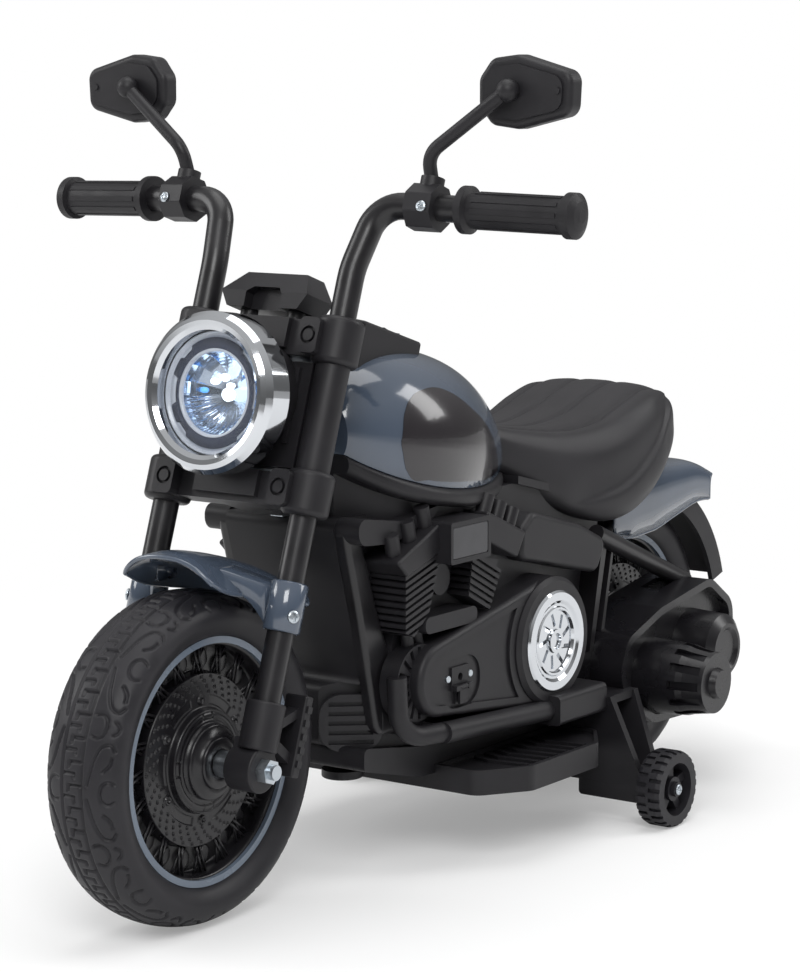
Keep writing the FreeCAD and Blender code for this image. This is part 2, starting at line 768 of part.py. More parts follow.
def tube(points, radius, bend):
    """Round bar along straight runs and tangent arcs."""
    path = Part.Wire(corner_arcs([V(*p) for p in points], bend, False))
    start = V(*points[0])
    ring = Part.Wire(Part.makeCircle(radius, start, V(*points[1]) - start))
    return path.makePipeShell([ring], True, False)


def fused(shapes):
    whole = shapes[0]
    if len(shapes) > 1:
        whole = whole.multiFuse(shapes[1:])
    return whole.removeSplitter()


def cut(shape, tools):
    for tool in tools:
        shape = shape.cut(tool)
    return shape


def placed(shape, placement):
    moved = shape.copy()
    moved.Placement = placement.multiply(shape.Placement)
    return moved


def mirrored(shape):
    return shape.mirror(ORIGIN, AXIS_X)


def pair(shape):
    return Part.makeCompound([shape, mirrored(shape)])


def turned_copies(shape, count, centre, axis):
    copies = []
    for i in range(count):
        copy = shape.copy()
        copy.rotate(centre, axis, FULL_TURN_DEG * i / count)
        copies.append(copy)
    return copies


def rounded(shape, radius, chosen):
    """Fillet of the edges that the test picks out."""
    edges = [edge for edge in shape.Edges if chosen(edge)]
    return shape.makeFillet(radius, edges)


def on_plane(axis, level):
    """Test for the edges that lie wholly on a plane square to an axis."""
    def lies(edge):
        box = edge.BoundBox
        low, high = {"x": (box.XMin, box.XMax), "y": (box.YMin, box.YMax), "z": (box.ZMin, box.ZMax)}[axis]
        return abs(low - level) < TOUCH and abs(high - level) < TOUCH
    return lies


# Wheels

def tyre(axle_y):
    half = [(TYRE_BEAD_HALF_W, TYRE_BEAD_R), (TYRE_HALF_W, TYRE_SIDE_R), (TYRE_SHOULDER_X, TYRE_SHOULDER_R),
            (0, WHEEL_R)]
    points = [V(x, axle_y, AXLE_Z + r) for x, r in half]
    other = [V(-x, axle_y, AXLE_Z + r) for x, r in half]
    side = Part.BSplineCurve()
    side.interpolate(points + other[-2::-1])
    bead = Part.LineSegment(other[0], points[0]).toShape()
    face = Part.Face(Part.Wire([side.toShape(), bead]))
    return face.revolve(V(0, axle_y, AXLE_Z), AXIS_X, FULL_TURN_DEG)


def rim_hoop(axle_y):
    w = TYRE_BEAD_HALF_W
    bed = TYRE_BEAD_R - RIM_BED_T
    profile = [(-w, RIM_INNER_R), (-w, TYRE_BEAD_R), (w, TYRE_BEAD_R), (w, RIM_INNER_R),
               (w - RIM_FLANGE_W, RIM_INNER_R), (w - RIM_FLANGE_W, bed),
               (RIM_FLANGE_W - w, bed), (RIM_FLANGE_W - w, RIM_INNER_R)]
    return turned(profile, axle_y, AXLE_Z)


def wheel_centre(axle_y, bore_r):
    """Moulded centre: hub, two brake rotors and crossed spokes inside the rim's bed."""
    centre = V(0, axle_y, AXLE_Z)
    bed = TYRE_BEAD_R - RIM_BED_T
    outer_x = TYRE_BEAD_HALF_W - RIM_FLANGE_W
    hub = turned([(-HUB_HALF_W, bore_r), (-HUB_HALF_W, HUB_R), (-HUB_MID_X, HUB_R), (-HUB_MID_X, HUB_MID_R),
                  (-HUB_STEP_X, HUB_MID_R), (-HUB_STEP_X, HUB_STEP_R), (-ROTOR_X, HUB_STEP_R),
                  (-ROTOR_X, ROTOR_R), (ROTOR_T - ROTOR_X, ROTOR_R),
                  (-WEB_HALF_T, ROTOR_R - WEB_RING_W), (WEB_HALF_T, ROTOR_R - WEB_RING_W),
                  (ROTOR_X - ROTOR_T, ROTOR_R), (ROTOR_X, ROTOR_R), (ROTOR_X, HUB_STEP_R),
                  (HUB_STEP_X, HUB_STEP_R), (HUB_STEP_X, HUB_MID_R), (HUB_MID_X, HUB_MID_R),
                  (HUB_MID_X, HUB_R),
                  (HUB_HALF_W, HUB_R), (HUB_HALF_W, bore_r)], axle_y, AXLE_Z)
    hoop = turned([(-outer_x, bed - WEB_RING_W), (-outer_x, bed), (outer_x, bed),
                   (outer_x, bed - WEB_RING_W)],
                  axle_y, AXLE_Z)
    pieces = [hub, hoop]
    start = ROTOR_R - WEB_RING_W * 2
    end = bed - WEB_RING_W / 2
    for lean in (-SPOKE_LEAN_DEG, SPOKE_LEAN_DEG):
        for side in (-1, 1):
            middle = side * (SPOKE_HALF_X - SPOKE_T / 2)
            spoke = block((middle - SPOKE_T / 2, axle_y - SPOKE_W / 2, AXLE_Z + start),
                          (middle + SPOKE_T / 2, axle_y + SPOKE_W / 2, AXLE_Z + end))
            hinge = V(0, axle_y, AXLE_Z + (start + end) / 2)
            spoke.rotate(hinge, AXIS_X, lean * 2)
            pieces += turned_copies(spoke, SPOKE_PAIR_COUNT, centre, AXIS_X)
    bolt = rod(ROTOR_BOLT_R, (ROTOR_X - ROTOR_T / 2, axle_y, AXLE_Z + ROTOR_BOLT_RING_R),
               (ROTOR_X + ROTOR_BOLT_H, axle_y, AXLE_Z + ROTOR_BOLT_RING_R))
    bolts = turned_copies(bolt, ROTOR_BOLT_COUNT, centre, AXIS_X)
    whole = fused(pieces + bolts + [mirrored(item) for item in bolts])
    holes = []
    for row, ring_r in enumerate(ROTOR_HOLE_RING_RS):
        hole = rod(ROTOR_HOLE_R, (ROTOR_X - ROTOR_T / 2, axle_y, AXLE_Z + ring_r),
                   (ROTOR_X + OVERRUN, axle_y, AXLE_Z + ring_r))
        hole.rotate(centre, AXIS_X, row * FULL_TURN_DEG / ROTOR_HOLE_COUNT / len(ROTOR_HOLE_RING_RS))
        holes += turned_copies(hole, ROTOR_HOLE_COUNT, centre, AXIS_X)
    holes += [mirrored(hole) for hole in holes]
    return whole.cut(Part.makeCompound(holes))


def training_wheel():
    centre = V(0, TRAIN_Y, TRAIN_R)
    middle = (TRAIN_IN_X + TRAIN_OUT_X) / 2
    bore = TRAIN_AXLE_R + RUN_GAP
    inner = TRAIN_R - TRAIN_RIM_W
    hoop = turned([(TRAIN_IN_X, inner), (TRAIN_IN_X, TRAIN_R - TRAIN_TREAD_DEPTH),
                   (TRAIN_IN_X + TRAIN_TREAD_W, TRAIN_R), (TRAIN_OUT_X - TRAIN_TREAD_W, TRAIN_R),
                   (TRAIN_OUT_X, TRAIN_R - TRAIN_TREAD_DEPTH), (TRAIN_OUT_X, inner)], TRAIN_Y, TRAIN_R)
    hub = turned([(TRAIN_IN_X, bore), (TRAIN_IN_X, TRAIN_HUB_R), (TRAIN_OUT_X - TRAIN_TREAD_W, TRAIN_HUB_R),
                  (TRAIN_OUT_X - TRAIN_TREAD_W, bore)], TRAIN_Y, TRAIN_R)
    spoke = block((middle - TRAIN_WEB_T / 2, TRAIN_Y - TRAIN_SPOKE_W / 2,
                   TRAIN_R + TRAIN_HUB_R - TRAIN_TREAD_W),
                  (middle + TRAIN_WEB_T / 2, TRAIN_Y + TRAIN_SPOKE_W / 2, TRAIN_R + inner + TRAIN_TREAD_W))
    wheel = fused([hoop, hub] + turned_copies(spoke, TRAIN_SPOKE_COUNT, centre, AXIS_X))
    notch = block((TRAIN_IN_X - OVERRUN, TRAIN_Y - TRAIN_TREAD_W / 2, TRAIN_R + TRAIN_R - TRAIN_NOTCH_DEPTH),
                  (TRAIN_IN_X + TRAIN_RIM_W, TRAIN_Y + TRAIN_TREAD_W / 2, TRAIN_R + TRAIN_R + OVERRUN))
    far = notch.copy()
    far.translate(V(TRAIN_OUT_X - TRAIN_IN_X - TRAIN_RIM_W + OVERRUN, 0, 0))
    far.rotate(centre, AXIS_X, FULL_TURN_DEG / TRAIN_TREAD_COUNT / 2)
    notches = turned_copies(notch, TRAIN_TREAD_COUNT, centre, AXIS_X)
    notches += turned_copies(far, TRAIN_TREAD_COUNT, centre, AXIS_X)
    return wheel.cut(Part.makeCompound(notches))


# Fork and handlebar, drawn in the fork's frame and placed with FORK

def fork_tubes():
    outer = rod(TUBE_R, (FORK_X, 0, FORK_TUBE_LOW), (FORK_X, 0, TUBE_SPLIT_Z))
    inner = rod(TUBE_R - TUBE_WALL, (FORK_X, 0, FORK_TUBE_LOW), (FORK_X, 0, TUBE_SPLIT_Z))
    return placed(pair(outer.cut(inner)), FORK)


def bar_route():
    reach = BAR_END_X - BAR_CORNER_X
    sweep = math.radians(BAR_SWEEP_DEG)
    return [(FORK_X, 0, TUBE_SPLIT_Z), (FORK_X, 0, BAR_KINK_Z), (BAR_CORNER_X, BAR_CORNER_Y, BAR_TOP_Z),
            (BAR_CORNER_X + reach * math.cos(sweep), BAR_CORNER_Y + reach * math.sin(sweep), BAR_TOP_Z)]


def bar_path():
    points = [V(*p) for p in bar_route()]
    low = corner_arcs(points[:3], BAR_KINK_BEND_R, False)
    high = corner_arcs([low[-1].Vertexes[0].Point] + points[2:], BAR_BEND_R, False)
    return Part.Wire(low[:-1] + high)


def handlebars():
    path = bar_path()
    ring = Part.Wire(Part.makeCircle(TUBE_R, V(*bar_route()[0]), AXIS_Z))
    bar = path.makePipeShell([ring], True, False)
    return placed(pair(bar), FORK)


def clamp(low, high, stem_hole_r):
    """Bridge between the fork tubes with a tongue back to the steering stem."""
    sleeve = rounded(rod(CLAMP_SLEEVE_R, (FORK_X, 0, low), (FORK_X, 0, high)), CLAMP_EDGE_R,
                     lambda edge: True)
    beam = block((-FORK_X, -CLAMP_BEAM_HALF_Y, low + CLAMP_BEAM_INSET),
                 (FORK_X, CLAMP_BEAM_HALF_Y, high - CLAMP_BEAM_INSET))
    step = block((-CLAMP_STEP_HALF_X, -CLAMP_BEAM_HALF_Y - CLAMP_STEP_Y, low + CLAMP_BEAM_INSET * 2),
                 (CLAMP_STEP_HALF_X, 0, high - CLAMP_BEAM_INSET))
    middle = (low + high) / 2
    ear_half = CLAMP_EAR_HALF_W + CLAMP_EAR_RIM
    ear = prism([(CLAMP_EAR_X - CLAMP_EAR_HALF_W, middle - ear_half),
                 (CLAMP_EAR_X + CLAMP_EAR_HALF_W, middle - ear_half),
                 (CLAMP_EAR_X + CLAMP_EAR_HALF_W, middle + ear_half),
                 (CLAMP_EAR_X - CLAMP_EAR_HALF_W, middle + ear_half)],
                CLAMP_EAR_Y, 0, CLAMP_EDGE_R, "y")
    tongue = prism([(-CLAMP_TONGUE_HALF_X, 0), (CLAMP_TONGUE_HALF_X, 0),
                    (CLAMP_TONGUE_HALF_X, STEER_OFFSET + STEM_BOSS_R),
                    (-CLAMP_TONGUE_HALF_X, STEER_OFFSET + STEM_BOSS_R)],
                   low + CLAMP_BEAM_INSET, high - CLAMP_BEAM_INSET, STEM_BOSS_R - CLAMP_EDGE_R, "z")
    whole = fused([sleeve, mirrored(sleeve), beam, step, ear, mirrored(ear), tongue])
    tools = []
    for side in (-1, 1):
        tools.append(rod(TUBE_R, (side * FORK_X, 0, low - OVERRUN), (side * FORK_X, 0, high + OVERRUN)))
        seat = rod(BOLT_HEAD_R + CLAMP_EDGE_R / 2, (side * CLAMP_EAR_X, CLAMP_EAR_Y - OVERRUN, middle),
                   (side * CLAMP_EAR_X, CLAMP_EAR_Y + BOLT_SINK, middle))
        head = rod(BOLT_HEAD_R, (side * CLAMP_EAR_X, CLAMP_EAR_Y - OVERRUN, middle),
                   (side * CLAMP_EAR_X, CLAMP_EAR_Y + BOLT_SINK, middle))
        tools.append(seat.cut(head))
    if stem_hole_r:
        tools.append(rod(stem_hole_r, (0, STEER_OFFSET, low - OVERRUN), (0, STEER_OFFSET, high + OVERRUN)))
    return cut(whole, tools)


def lower_clamp():
    """The lower bridge carries the steering stem, which turns in the head tube."""
    stem = rod(STEM_R, (0, STEER_OFFSET, LOWER_CLAMP_LOW + CLAMP_BEAM_INSET),
               (0, STEER_OFFSET, UPPER_CLAMP_HIGH - CLAMP_BEAM_INSET))
    return placed(fused([clamp(LOWER_CLAMP_LOW, LOWER_CLAMP_HIGH, 0), stem]), FORK)


def upper_clamp():
    return placed(clamp(UPPER_CLAMP_LOW, UPPER_CLAMP_HIGH, STEM_R), FORK)


def head_tube():
    """Steering head: a tube round the stem, on a plate that goes back into the body."""
    low = LOWER_CLAMP_HIGH - CLAMP_BEAM_INSET + HEAD_GAP
    high = UPPER_CLAMP_LOW + CLAMP_BEAM_INSET - HEAD_GAP
    barrel = rod(HEAD_TUBE_R, (0, STEER_OFFSET, low), (0, STEER_OFFSET, high))
    barrel = placed(barrel, FORK)
    bore = placed(rod(STEM_R + RUN_GAP, (0, STEER_OFFSET, low - OVERRUN), (0, STEER_OFFSET, high + OVERRUN)),
                  FORK)
    middle = FORK.multVec(V(0, STEER_OFFSET, low))
    along = FORK.multVec(V(0, STEER_OFFSET, low + HEAD_PLATE_RISE))
    plate = prism([(middle.y, middle.z + HEAD_GAP), (CORE_FRONT_TOP_Y, CORE_TOP_Z),
                   (HEAD_PLATE_REAR_Y, CORE_TOP_Z),
                   (HEAD_PLATE_REAR_Y, HEAD_PLATE_TOP_Z), (along.y, along.z)], -HEAD_PLATE_HALF_X,
                  HEAD_PLATE_HALF_X, 0)
    turning = rod(STEM_BOSS_R + CLAMP_EDGE_R + HEAD_GAP * 2, (0, STEER_OFFSET, LOWER_CLAMP_LOW),
                  (0, STEER_OFFSET, low))
    return fused([barrel, plate.cut(placed(turning, FORK))]).cut(bore)


def grips():
    """Ribbed rubber sleeves, drawn along the straight end of the bar."""
    start, end = GRIP_IN_X - BAR_CORNER_X, GRIP_END_X - BAR_CORNER_X
    bar_end = BAR_END_X - BAR_CORNER_X
    length = end - start
    w = GRIP_FLANGE_W
    foot, neck, collar, brow, nose = [w * share for share in GRIP_STEP_SHARES]
    brow_r, nose_r = [GRIP_R * share for share in GRIP_NOSE_SHARES]
    core = turned([(start, TUBE_R), (start, GRIP_FLANGE_R), (start + w, GRIP_FLANGE_R),
                   (start + foot, GRIP_R),
                   (end - neck, GRIP_R), (end - collar, GRIP_END_R), (end - brow, GRIP_END_R),
                   (end - nose, brow_r), (end, nose_r), (end, 0), (bar_end, 0), (bar_end, TUBE_R)], 0, 0)
    rib = block((start + length * GRIP_RIB_SHARES[0], -GRIP_RIB_W / 2, GRIP_R - GRIP_RIB_H),
                (end - length * GRIP_RIB_SHARES[1], GRIP_RIB_W / 2, GRIP_R + GRIP_RIB_H / 2))
    ribs = turned_copies(rib, GRIP_RIB_COUNT, ORIGIN, AXIS_X)
    return pair(placed(fused([core] + ribs), BAR))


def mirror_stems():
    """Split clamp round the bar with a bent stem that ends in a ball."""
    middle = MIRROR_CLAMP_X - BAR_CORNER_X
    low, high = middle - MIRROR_CLAMP_HALF_W, middle + MIRROR_CLAMP_HALF_W
    corners = []
    for i in range(MIRROR_CLAMP_SIDES):
        turn = math.pi * (2 * i + 1) / MIRROR_CLAMP_SIDES
        corners.append((MIRROR_CLAMP_R * math.cos(turn), MIRROR_CLAMP_R * math.sin(turn)))
    body = prism(corners, low, high, TUBE_WALL)
    body = body.cut(rod(TUBE_R, (low - OVERRUN, 0, 0), (high + OVERRUN, 0, 0)))
    foot = MIRROR_CLAMP_R * math.cos(math.pi / MIRROR_CLAMP_SIDES) - TUBE_WALL
    collar = rod(MIRROR_COLLAR_R, (middle, 0, foot), (middle, 0, foot + MIRROR_COLLAR_H))
    ball = BAR.inverse().multVec(V(BALL_X, BALL_Y, BALL_Z))
    start = foot + MIRROR_COLLAR_H / 2
    stem = tube([(middle, 0, start), (middle, ball.y * MIRROR_STEM_LEAN_SHARE, start + MIRROR_STEM_RISE),
                 (ball.x, ball.y, ball.z)],
                MIRROR_STEM_R, MIRROR_STEM_BEND_R)
    knob = Part.makeSphere(BALL_R, ball)
    return pair(placed(fused([body, collar, stem, knob]), BAR))


def mirror_head():
    """Teardrop shell behind the ball, with a raised back panel and a sunk face for the glass."""
    back = BALL_Y + BALL_R - MIRROR_GAP_Y
    face = back + MIRROR_T

    def teardrop(inset, low, high):
        pairs = spread(MIRROR_SHARES, (MIRROR_IN_X + inset, MIRROR_LOW_Z + inset),
                       (MIRROR_OUT_X - inset, MIRROR_HIGH_Z - inset))
        return prism(pairs, low, high, MIRROR_CORNER_R, "y")

    shell = rounded(teardrop(0, back, face), MIRROR_EDGE_R, on_plane("y", back))
    panel = teardrop(MIRROR_PANEL_INSET, back - MIRROR_PANEL_H, back)
    stud = rod(MIRROR_STUD_R, (MIRROR_STUD_X, back - MIRROR_PANEL_H - MIRROR_STUD_H, BALL_Z),
               (MIRROR_STUD_X, back, BALL_Z))
    whole = fused([shell, panel, stud])
    sink = teardrop(MIRROR_GLASS_INSET, face - MIRROR_GLASS_SINK, face + OVERRUN)
    room = Part.makeSphere(BALL_R + RUN_GAP, V(BALL_X, BALL_Y, BALL_Z))
    stem_room = Part.makeSphere(BALL_R + MIRROR_GAP_Y, V(BALL_X, BALL_Y - BALL_R, BALL_Z))
    return cut(whole, [sink, room, stem_room])


# Headlight, drawn along +Z from its glass and placed with LAMP

def headlight_ring():
    ring = turned_up([(LAMP_RING_IN_R, 0), (LAMP_RING_IN_R + LAMP_RING_CROWN,
                                            LAMP_RING_CROWN * LAMP_RING_RISE_SHARES[0]),
                      ((LAMP_RING_R + LAMP_RING_IN_R) / 2, LAMP_RING_CROWN),
                      (LAMP_RING_R - LAMP_RING_CROWN, LAMP_RING_CROWN * LAMP_RING_RISE_SHARES[1]),
                      (LAMP_RING_R, -LAMP_RING_CROWN), (LAMP_RING_R, -LAMP_RING_DEPTH),
                      (LAMP_BUCKET_R, -LAMP_RING_DEPTH), (LAMP_BUCKET_R, -LAMP_GLASS_SINK - LAMP_GLASS_T),
                      (LAMP_RING_IN_R, -LAMP_GLASS_SINK - LAMP_GLASS_T)])
    return placed(ring, LAMP)


def headlight_lens():
    rim = LAMP_RING_IN_R
    top = -LAMP_GLASS_SINK
    lens = turned_up([(0, top - LAMP_GLASS_T), (rim, top - LAMP_GLASS_T), (rim, top),
                      (rim * LAMP_GLASS_SHARES[0], top + LAMP_GLASS_CROWN * LAMP_GLASS_SHARES[1]),
                      (0, top + LAMP_GLASS_CROWN)])
    return placed(lens, LAMP)


def headlight_reflector():
    """Bowl behind the glass with its lamp in the middle."""
    rim = LAMP_RING_IN_R
    top = -LAMP_GLASS_SINK - LAMP_GLASS_T
    floor = top - LAMP_BOWL_DEPTH
    t = LAMP_BOWL_T
    bowl = turned_up([(0, floor), (LAMP_BOWL_END_R, floor),
                      (rim * LAMP_BOWL_IN_SHARES[0], floor + LAMP_BOWL_DEPTH * LAMP_BOWL_IN_SHARES[1]),
                      (rim - t, top - t),
                      (rim - t, top), (LAMP_BUCKET_R, top), (LAMP_BUCKET_R, top - t), (rim, top - t),
                      (rim * LAMP_BOWL_OUT_SHARES[0], floor + LAMP_BOWL_DEPTH * LAMP_BOWL_OUT_SHARES[1]),
                      (LAMP_BOWL_END_R, floor - t), (0, floor - t)])
    bulb = Part.makeCylinder(LAMP_BULB_R, LAMP_BULB_H, V(0, 0, floor)).fuse(
        Part.makeSphere(LAMP_BULB_R, V(0, 0, floor + LAMP_BULB_H)))
    return placed(fused([bowl, bulb]), LAMP)


def headlight_housing():
    """Bucket and back panel with a shroud round each fork tube."""
    top = -LAMP_GLASS_SINK - LAMP_GLASS_T - LAMP_BOWL_T
    bucket = placed(turned_up([(0, -LAMP_BUCKET_DEPTH), (LAMP_BUCKET_END_R, -LAMP_BUCKET_DEPTH),
                               (LAMP_BUCKET_R, -LAMP_RING_DEPTH),
                               (LAMP_BUCKET_R, top), (LAMP_RING_IN_R + LAMP_RING_CROWN, top),
                               (LAMP_BUCKET_END_R - WALL, -LAMP_BUCKET_DEPTH + WALL),
                               (0, -LAMP_BUCKET_DEPTH + WALL)]), LAMP)
    low = LOWER_CLAMP_HIGH
    high = UPPER_CLAMP_LOW
    panel = block((-COWL_HALF_X, COWL_FRONT_Y, low), (COWL_HALF_X, COWL_REAR_Y, high))
    shroud = rod(SHROUD_R, (FORK_X, 0, low), (FORK_X, 0, high))
    rib = block((COWL_RIB_X, COWL_FRONT_Y - COWL_RIB_H, low + CLAMP_SLEEVE_R),
                (COWL_RIB_X + COWL_RIB_W, 0, high - CLAMP_EAR_RIM))
    cowl = fused([panel, shroud, mirrored(shroud), rib, mirrored(rib)])
    for side in (-1, 1):
        cowl = cowl.cut(rod(TUBE_R, (side * FORK_X, 0, low - OVERRUN), (side * FORK_X, 0, high + OVERRUN)))
    whole = fused([placed(cowl, FORK), bucket])
    inside = placed(turned_up([(0, -LAMP_BUCKET_DEPTH + WALL),
                               (LAMP_BUCKET_END_R - WALL, -LAMP_BUCKET_DEPTH + WALL),
                               (LAMP_RING_IN_R + LAMP_RING_CROWN, top), (LAMP_RING_IN_R, OVERRUN),
                               (0, OVERRUN)]), LAMP)
    return whole.cut(inside)


def instrument_block():
    """Faceted block with a notch in its front, on two posts."""
    x, low, high, b = BLOCK_HALF_X, BLOCK_LOW, BLOCK_HIGH, BLOCK_BEVEL
    foot = x - b * BLOCK_FOOT_SHARE
    shoulder = high - b * BLOCK_SHOULDER_SHARE
    face = [(-foot, low), (foot, low), (x, shoulder), (x - b, high), (-x + b, high), (-x, shoulder)]
    body = prism(face, BLOCK_FRONT_Y, BLOCK_REAR_Y, 0, "y")
    slope = prism([(BLOCK_FRONT_Y - OVERRUN, low + b), (BLOCK_FRONT_Y, low + b), (BLOCK_FRONT_Y + b, high),
                   (BLOCK_FRONT_Y + b, high + OVERRUN), (BLOCK_FRONT_Y - OVERRUN, high + OVERRUN)],
                  -x - OVERRUN, x + OVERRUN, 0)
    n = BLOCK_NOTCH_HALF_X
    top = n * BLOCK_NOTCH_TOP_SHARE
    rise, peak = [low + b * share for share in BLOCK_NOTCH_RISE_SHARES]
    notch = prism([(-n, low - OVERRUN), (n, low - OVERRUN), (n, rise), (top, peak), (-top, peak),
                   (-n, rise)],
                   BLOCK_FRONT_Y - OVERRUN, BLOCK_FRONT_Y + BLOCK_NOTCH_DEPTH, 0, "y")
    post = rod(BLOCK_POST_R, (BLOCK_POST_X, 0, UPPER_CLAMP_HIGH - CLAMP_BEAM_INSET),
               (BLOCK_POST_X, 0, low + b))
    whole = fused([cut(body, [slope, notch]), post, mirrored(post)])
    return placed(whole, FORK)


def fork_ends():
    """Socket below each fork tube with the axle boss and a ribbed plate carried on two arms."""
    socket = rod(END_SOCKET_R, (FORK_X, 0, END_SOCKET_LOW), (FORK_X, 0, END_SOCKET_HIGH))
    socket = rounded(socket, TUBE_WALL, lambda edge: True)
    boss = rod(END_BOSS_R, (END_BOSS_IN_X, 0, 0), (END_BOSS_OUT_X, 0, 0))
    boss = rounded(boss, TUBE_WALL, on_plane("x", END_BOSS_OUT_X))
    neck = block((END_BOSS_IN_X, -END_SOCKET_R * END_NECK_SHARE, 0),
                 (END_BOSS_OUT_X, END_SOCKET_R * END_NECK_SHARE, END_SOCKET_LOW + END_ARM_T))
    low, high = END_PLATE_Z - END_PLATE_HALF_H, END_PLATE_Z + END_PLATE_HALF_H
    plate = block((FORK_X - END_PLATE_HALF_X, END_PLATE_Y, low),
                  (FORK_X + END_PLATE_HALF_X, END_PLATE_Y + END_PLATE_T, high))
    plate = rounded(plate, TUBE_WALL, lambda edge: True)
    arms = []
    for side in (-1, 1):
        rise = END_PLATE_Z + side * END_ARM_RISE
        arms.append(prism([(0, END_PLATE_Z - END_ARM_T),
                           (END_PLATE_Y + END_PLATE_T / 2, rise - END_ARM_T / 2),
                           (END_PLATE_Y + END_PLATE_T / 2, rise + END_ARM_T / 2), (0, END_PLATE_Z)],
                          FORK_X - END_PLATE_HALF_X / 2, FORK_X + END_PLATE_HALF_X / 2, 0))
    step = 2 * END_PLATE_HALF_H / (END_RIB_COUNT + 1)
    ribs = []
    for i in range(END_RIB_COUNT):
        middle = low + step * (i + 1)
        ribs.append(block((FORK_X, END_PLATE_Y + END_PLATE_T * END_RIB_Y_SHARES[0],
                           middle - step * END_RIB_SHARE / 2),
                          (FORK_X + END_PLATE_HALF_X + END_RIB_H,
                           END_PLATE_Y + END_PLATE_T * END_RIB_Y_SHARES[1],
                           middle + step * END_RIB_SHARE / 2)))
    whole = fused([socket, boss, neck, plate] + arms + ribs)
    tools = [rod(TUBE_R, (FORK_X, 0, FORK_TUBE_LOW), (FORK_X, 0, END_SOCKET_HIGH + OVERRUN)),
             rod(AXLE_R, (END_BOSS_IN_X - OVERRUN, 0, 0), (END_BOSS_OUT_X + OVERRUN, 0, 0))]
    return placed(pair(cut(whole, tools)), FORK)


def front_axle():
    """Axle with spacers beside the hub and a nut at each end."""
    side = 2 * math.pi / NUT_SIDES
    nut_points = [(NUT_R * math.cos(side * i), NUT_R * math.sin(side * i)) for i in range(NUT_SIDES)]
    nut = prism(nut_points, END_BOSS_OUT_X, END_BOSS_OUT_X + NUT_T, 0)
    spacer = rod(END_BOSS_R * SPACER_SHARE, (HUB_HALF_W + LAY_GAP, 0, 0), (END_BOSS_IN_X, 0, 0))
    bar = rod(AXLE_R, (-END_BOSS_OUT_X - NUT_T - AXLE_STUB, 0, 0),
              (END_BOSS_OUT_X + NUT_T + AXLE_STUB, 0, 0))
    return placed(fused([bar, nut, mirrored(nut), spacer, mirrored(spacer)]), FORK)


def crowned_channel(start, along, half_w, crown, side, t):
    """Closed wire of an arched channel, square to a direction in the YZ plane."""
    down = V(0, along.z, -along.y).normalize()
    if down.z > 0:
        down = down * -1

    def point(x, drop):
        return start + AXIS_X * x + down * drop

    edges = [Part.Arc(point(-half_w, crown), point(0, 0), point(half_w, crown)).toShape()]
    if side:
        edges.append(Part.LineSegment(point(half_w, crown), point(half_w, crown + side)).toShape())
    edges.append(Part.LineSegment(point(half_w, crown + side), point(half_w - t, crown + side)).toShape())
    if side:
        edges.append(Part.LineSegment(point(half_w - t, crown + side),
                                      point(half_w - t, crown + t)).toShape())
    edges.append(Part.Arc(point(half_w - t, crown + (t if side else 0)), point(0, t),
                          point(t - half_w, crown + (t if side else 0))).toShape())
    if side:
        edges.append(Part.LineSegment(point(t - half_w, crown + t),
                                      point(t - half_w, crown + side)).toShape())
    edges.append(Part.LineSegment(point(t - half_w, crown + side), point(-half_w, crown + side)).toShape())
    if side:
        edges.append(Part.LineSegment(point(-half_w, crown + side), point(-half_w, crown)).toShape())
    return Part.Wire(edges)


def channel_sweep(route, bend, half_w, crown, side, t):
    points = [V(0, y, z) for y, z in route]
    path = Part.Wire(corner_arcs(points, bend, False))
    section = crowned_channel(points[0], points[1] - points[0], half_w, crown, side, t)
    return path.makePipeShell([section], True, False)


def front_fender():
    """Arched fender with a round front edge, on arms that end in sleeves round the fork tubes."""
    half = FENDER_HALF_W
    route = [(-FENDER_REACH_Y, FENDER_REACH_Z), (FENDER_TOP_Y, FENDER_TOP_Z - FENDER_FRONT_DROP),
             (0, FENDER_TOP_Z),
             (FENDER_BACK_Y, FENDER_BACK_Z), (FENDER_END_Y, FENDER_END_Z)]
    blade = channel_sweep(route, FENDER_BEND_R, half, FENDER_CROWN, 0, FENDER_T)
    front, back = -FENDER_REACH_Y, FENDER_END_Y
    nose = prism([(-half, front), (half, front), (half, back + half), (-half, back + half)], 0,
                 FENDER_TOP_Z + OVERRUN,
                 FENDER_NOSE_R, "z")
    tail = prism([(-half, front - half), (half, front - half), (half, back), (-half, back)], 0,
                 FENDER_TOP_Z + OVERRUN,
                 FENDER_TAIL_R, "z")
    blade = blade.common(nose.common(tail))
    sleeve = rod(SLEEVE_R, (FORK_X, 0, SLEEVE_LOW), (FORK_X, 0, SLEEVE_HIGH))
    root = FENDER_TOP_Z - FENDER_CROWN
    arm = prism([(half - SLEEVE_ARM_T, root - FENDER_T), (half - FENDER_T, root), (FORK_X, SLEEVE_HIGH),
                 (FORK_X, SLEEVE_HIGH - SLEEVE_ARM_T * 2)], -SLEEVE_ARM_HALF_Y, SLEEVE_ARM_HALF_Y, 0, "y")
    whole = fused([blade, sleeve, mirrored(sleeve), arm, mirrored(arm)])
    for side in (-1, 1):
        whole = whole.cut(rod(TUBE_R, (side * FORK_X, 0, SLEEVE_LOW - OVERRUN),
                              (side * FORK_X, 0, SLEEVE_HIGH + OVERRUN)))
    return placed(whole, FORK)


# Body

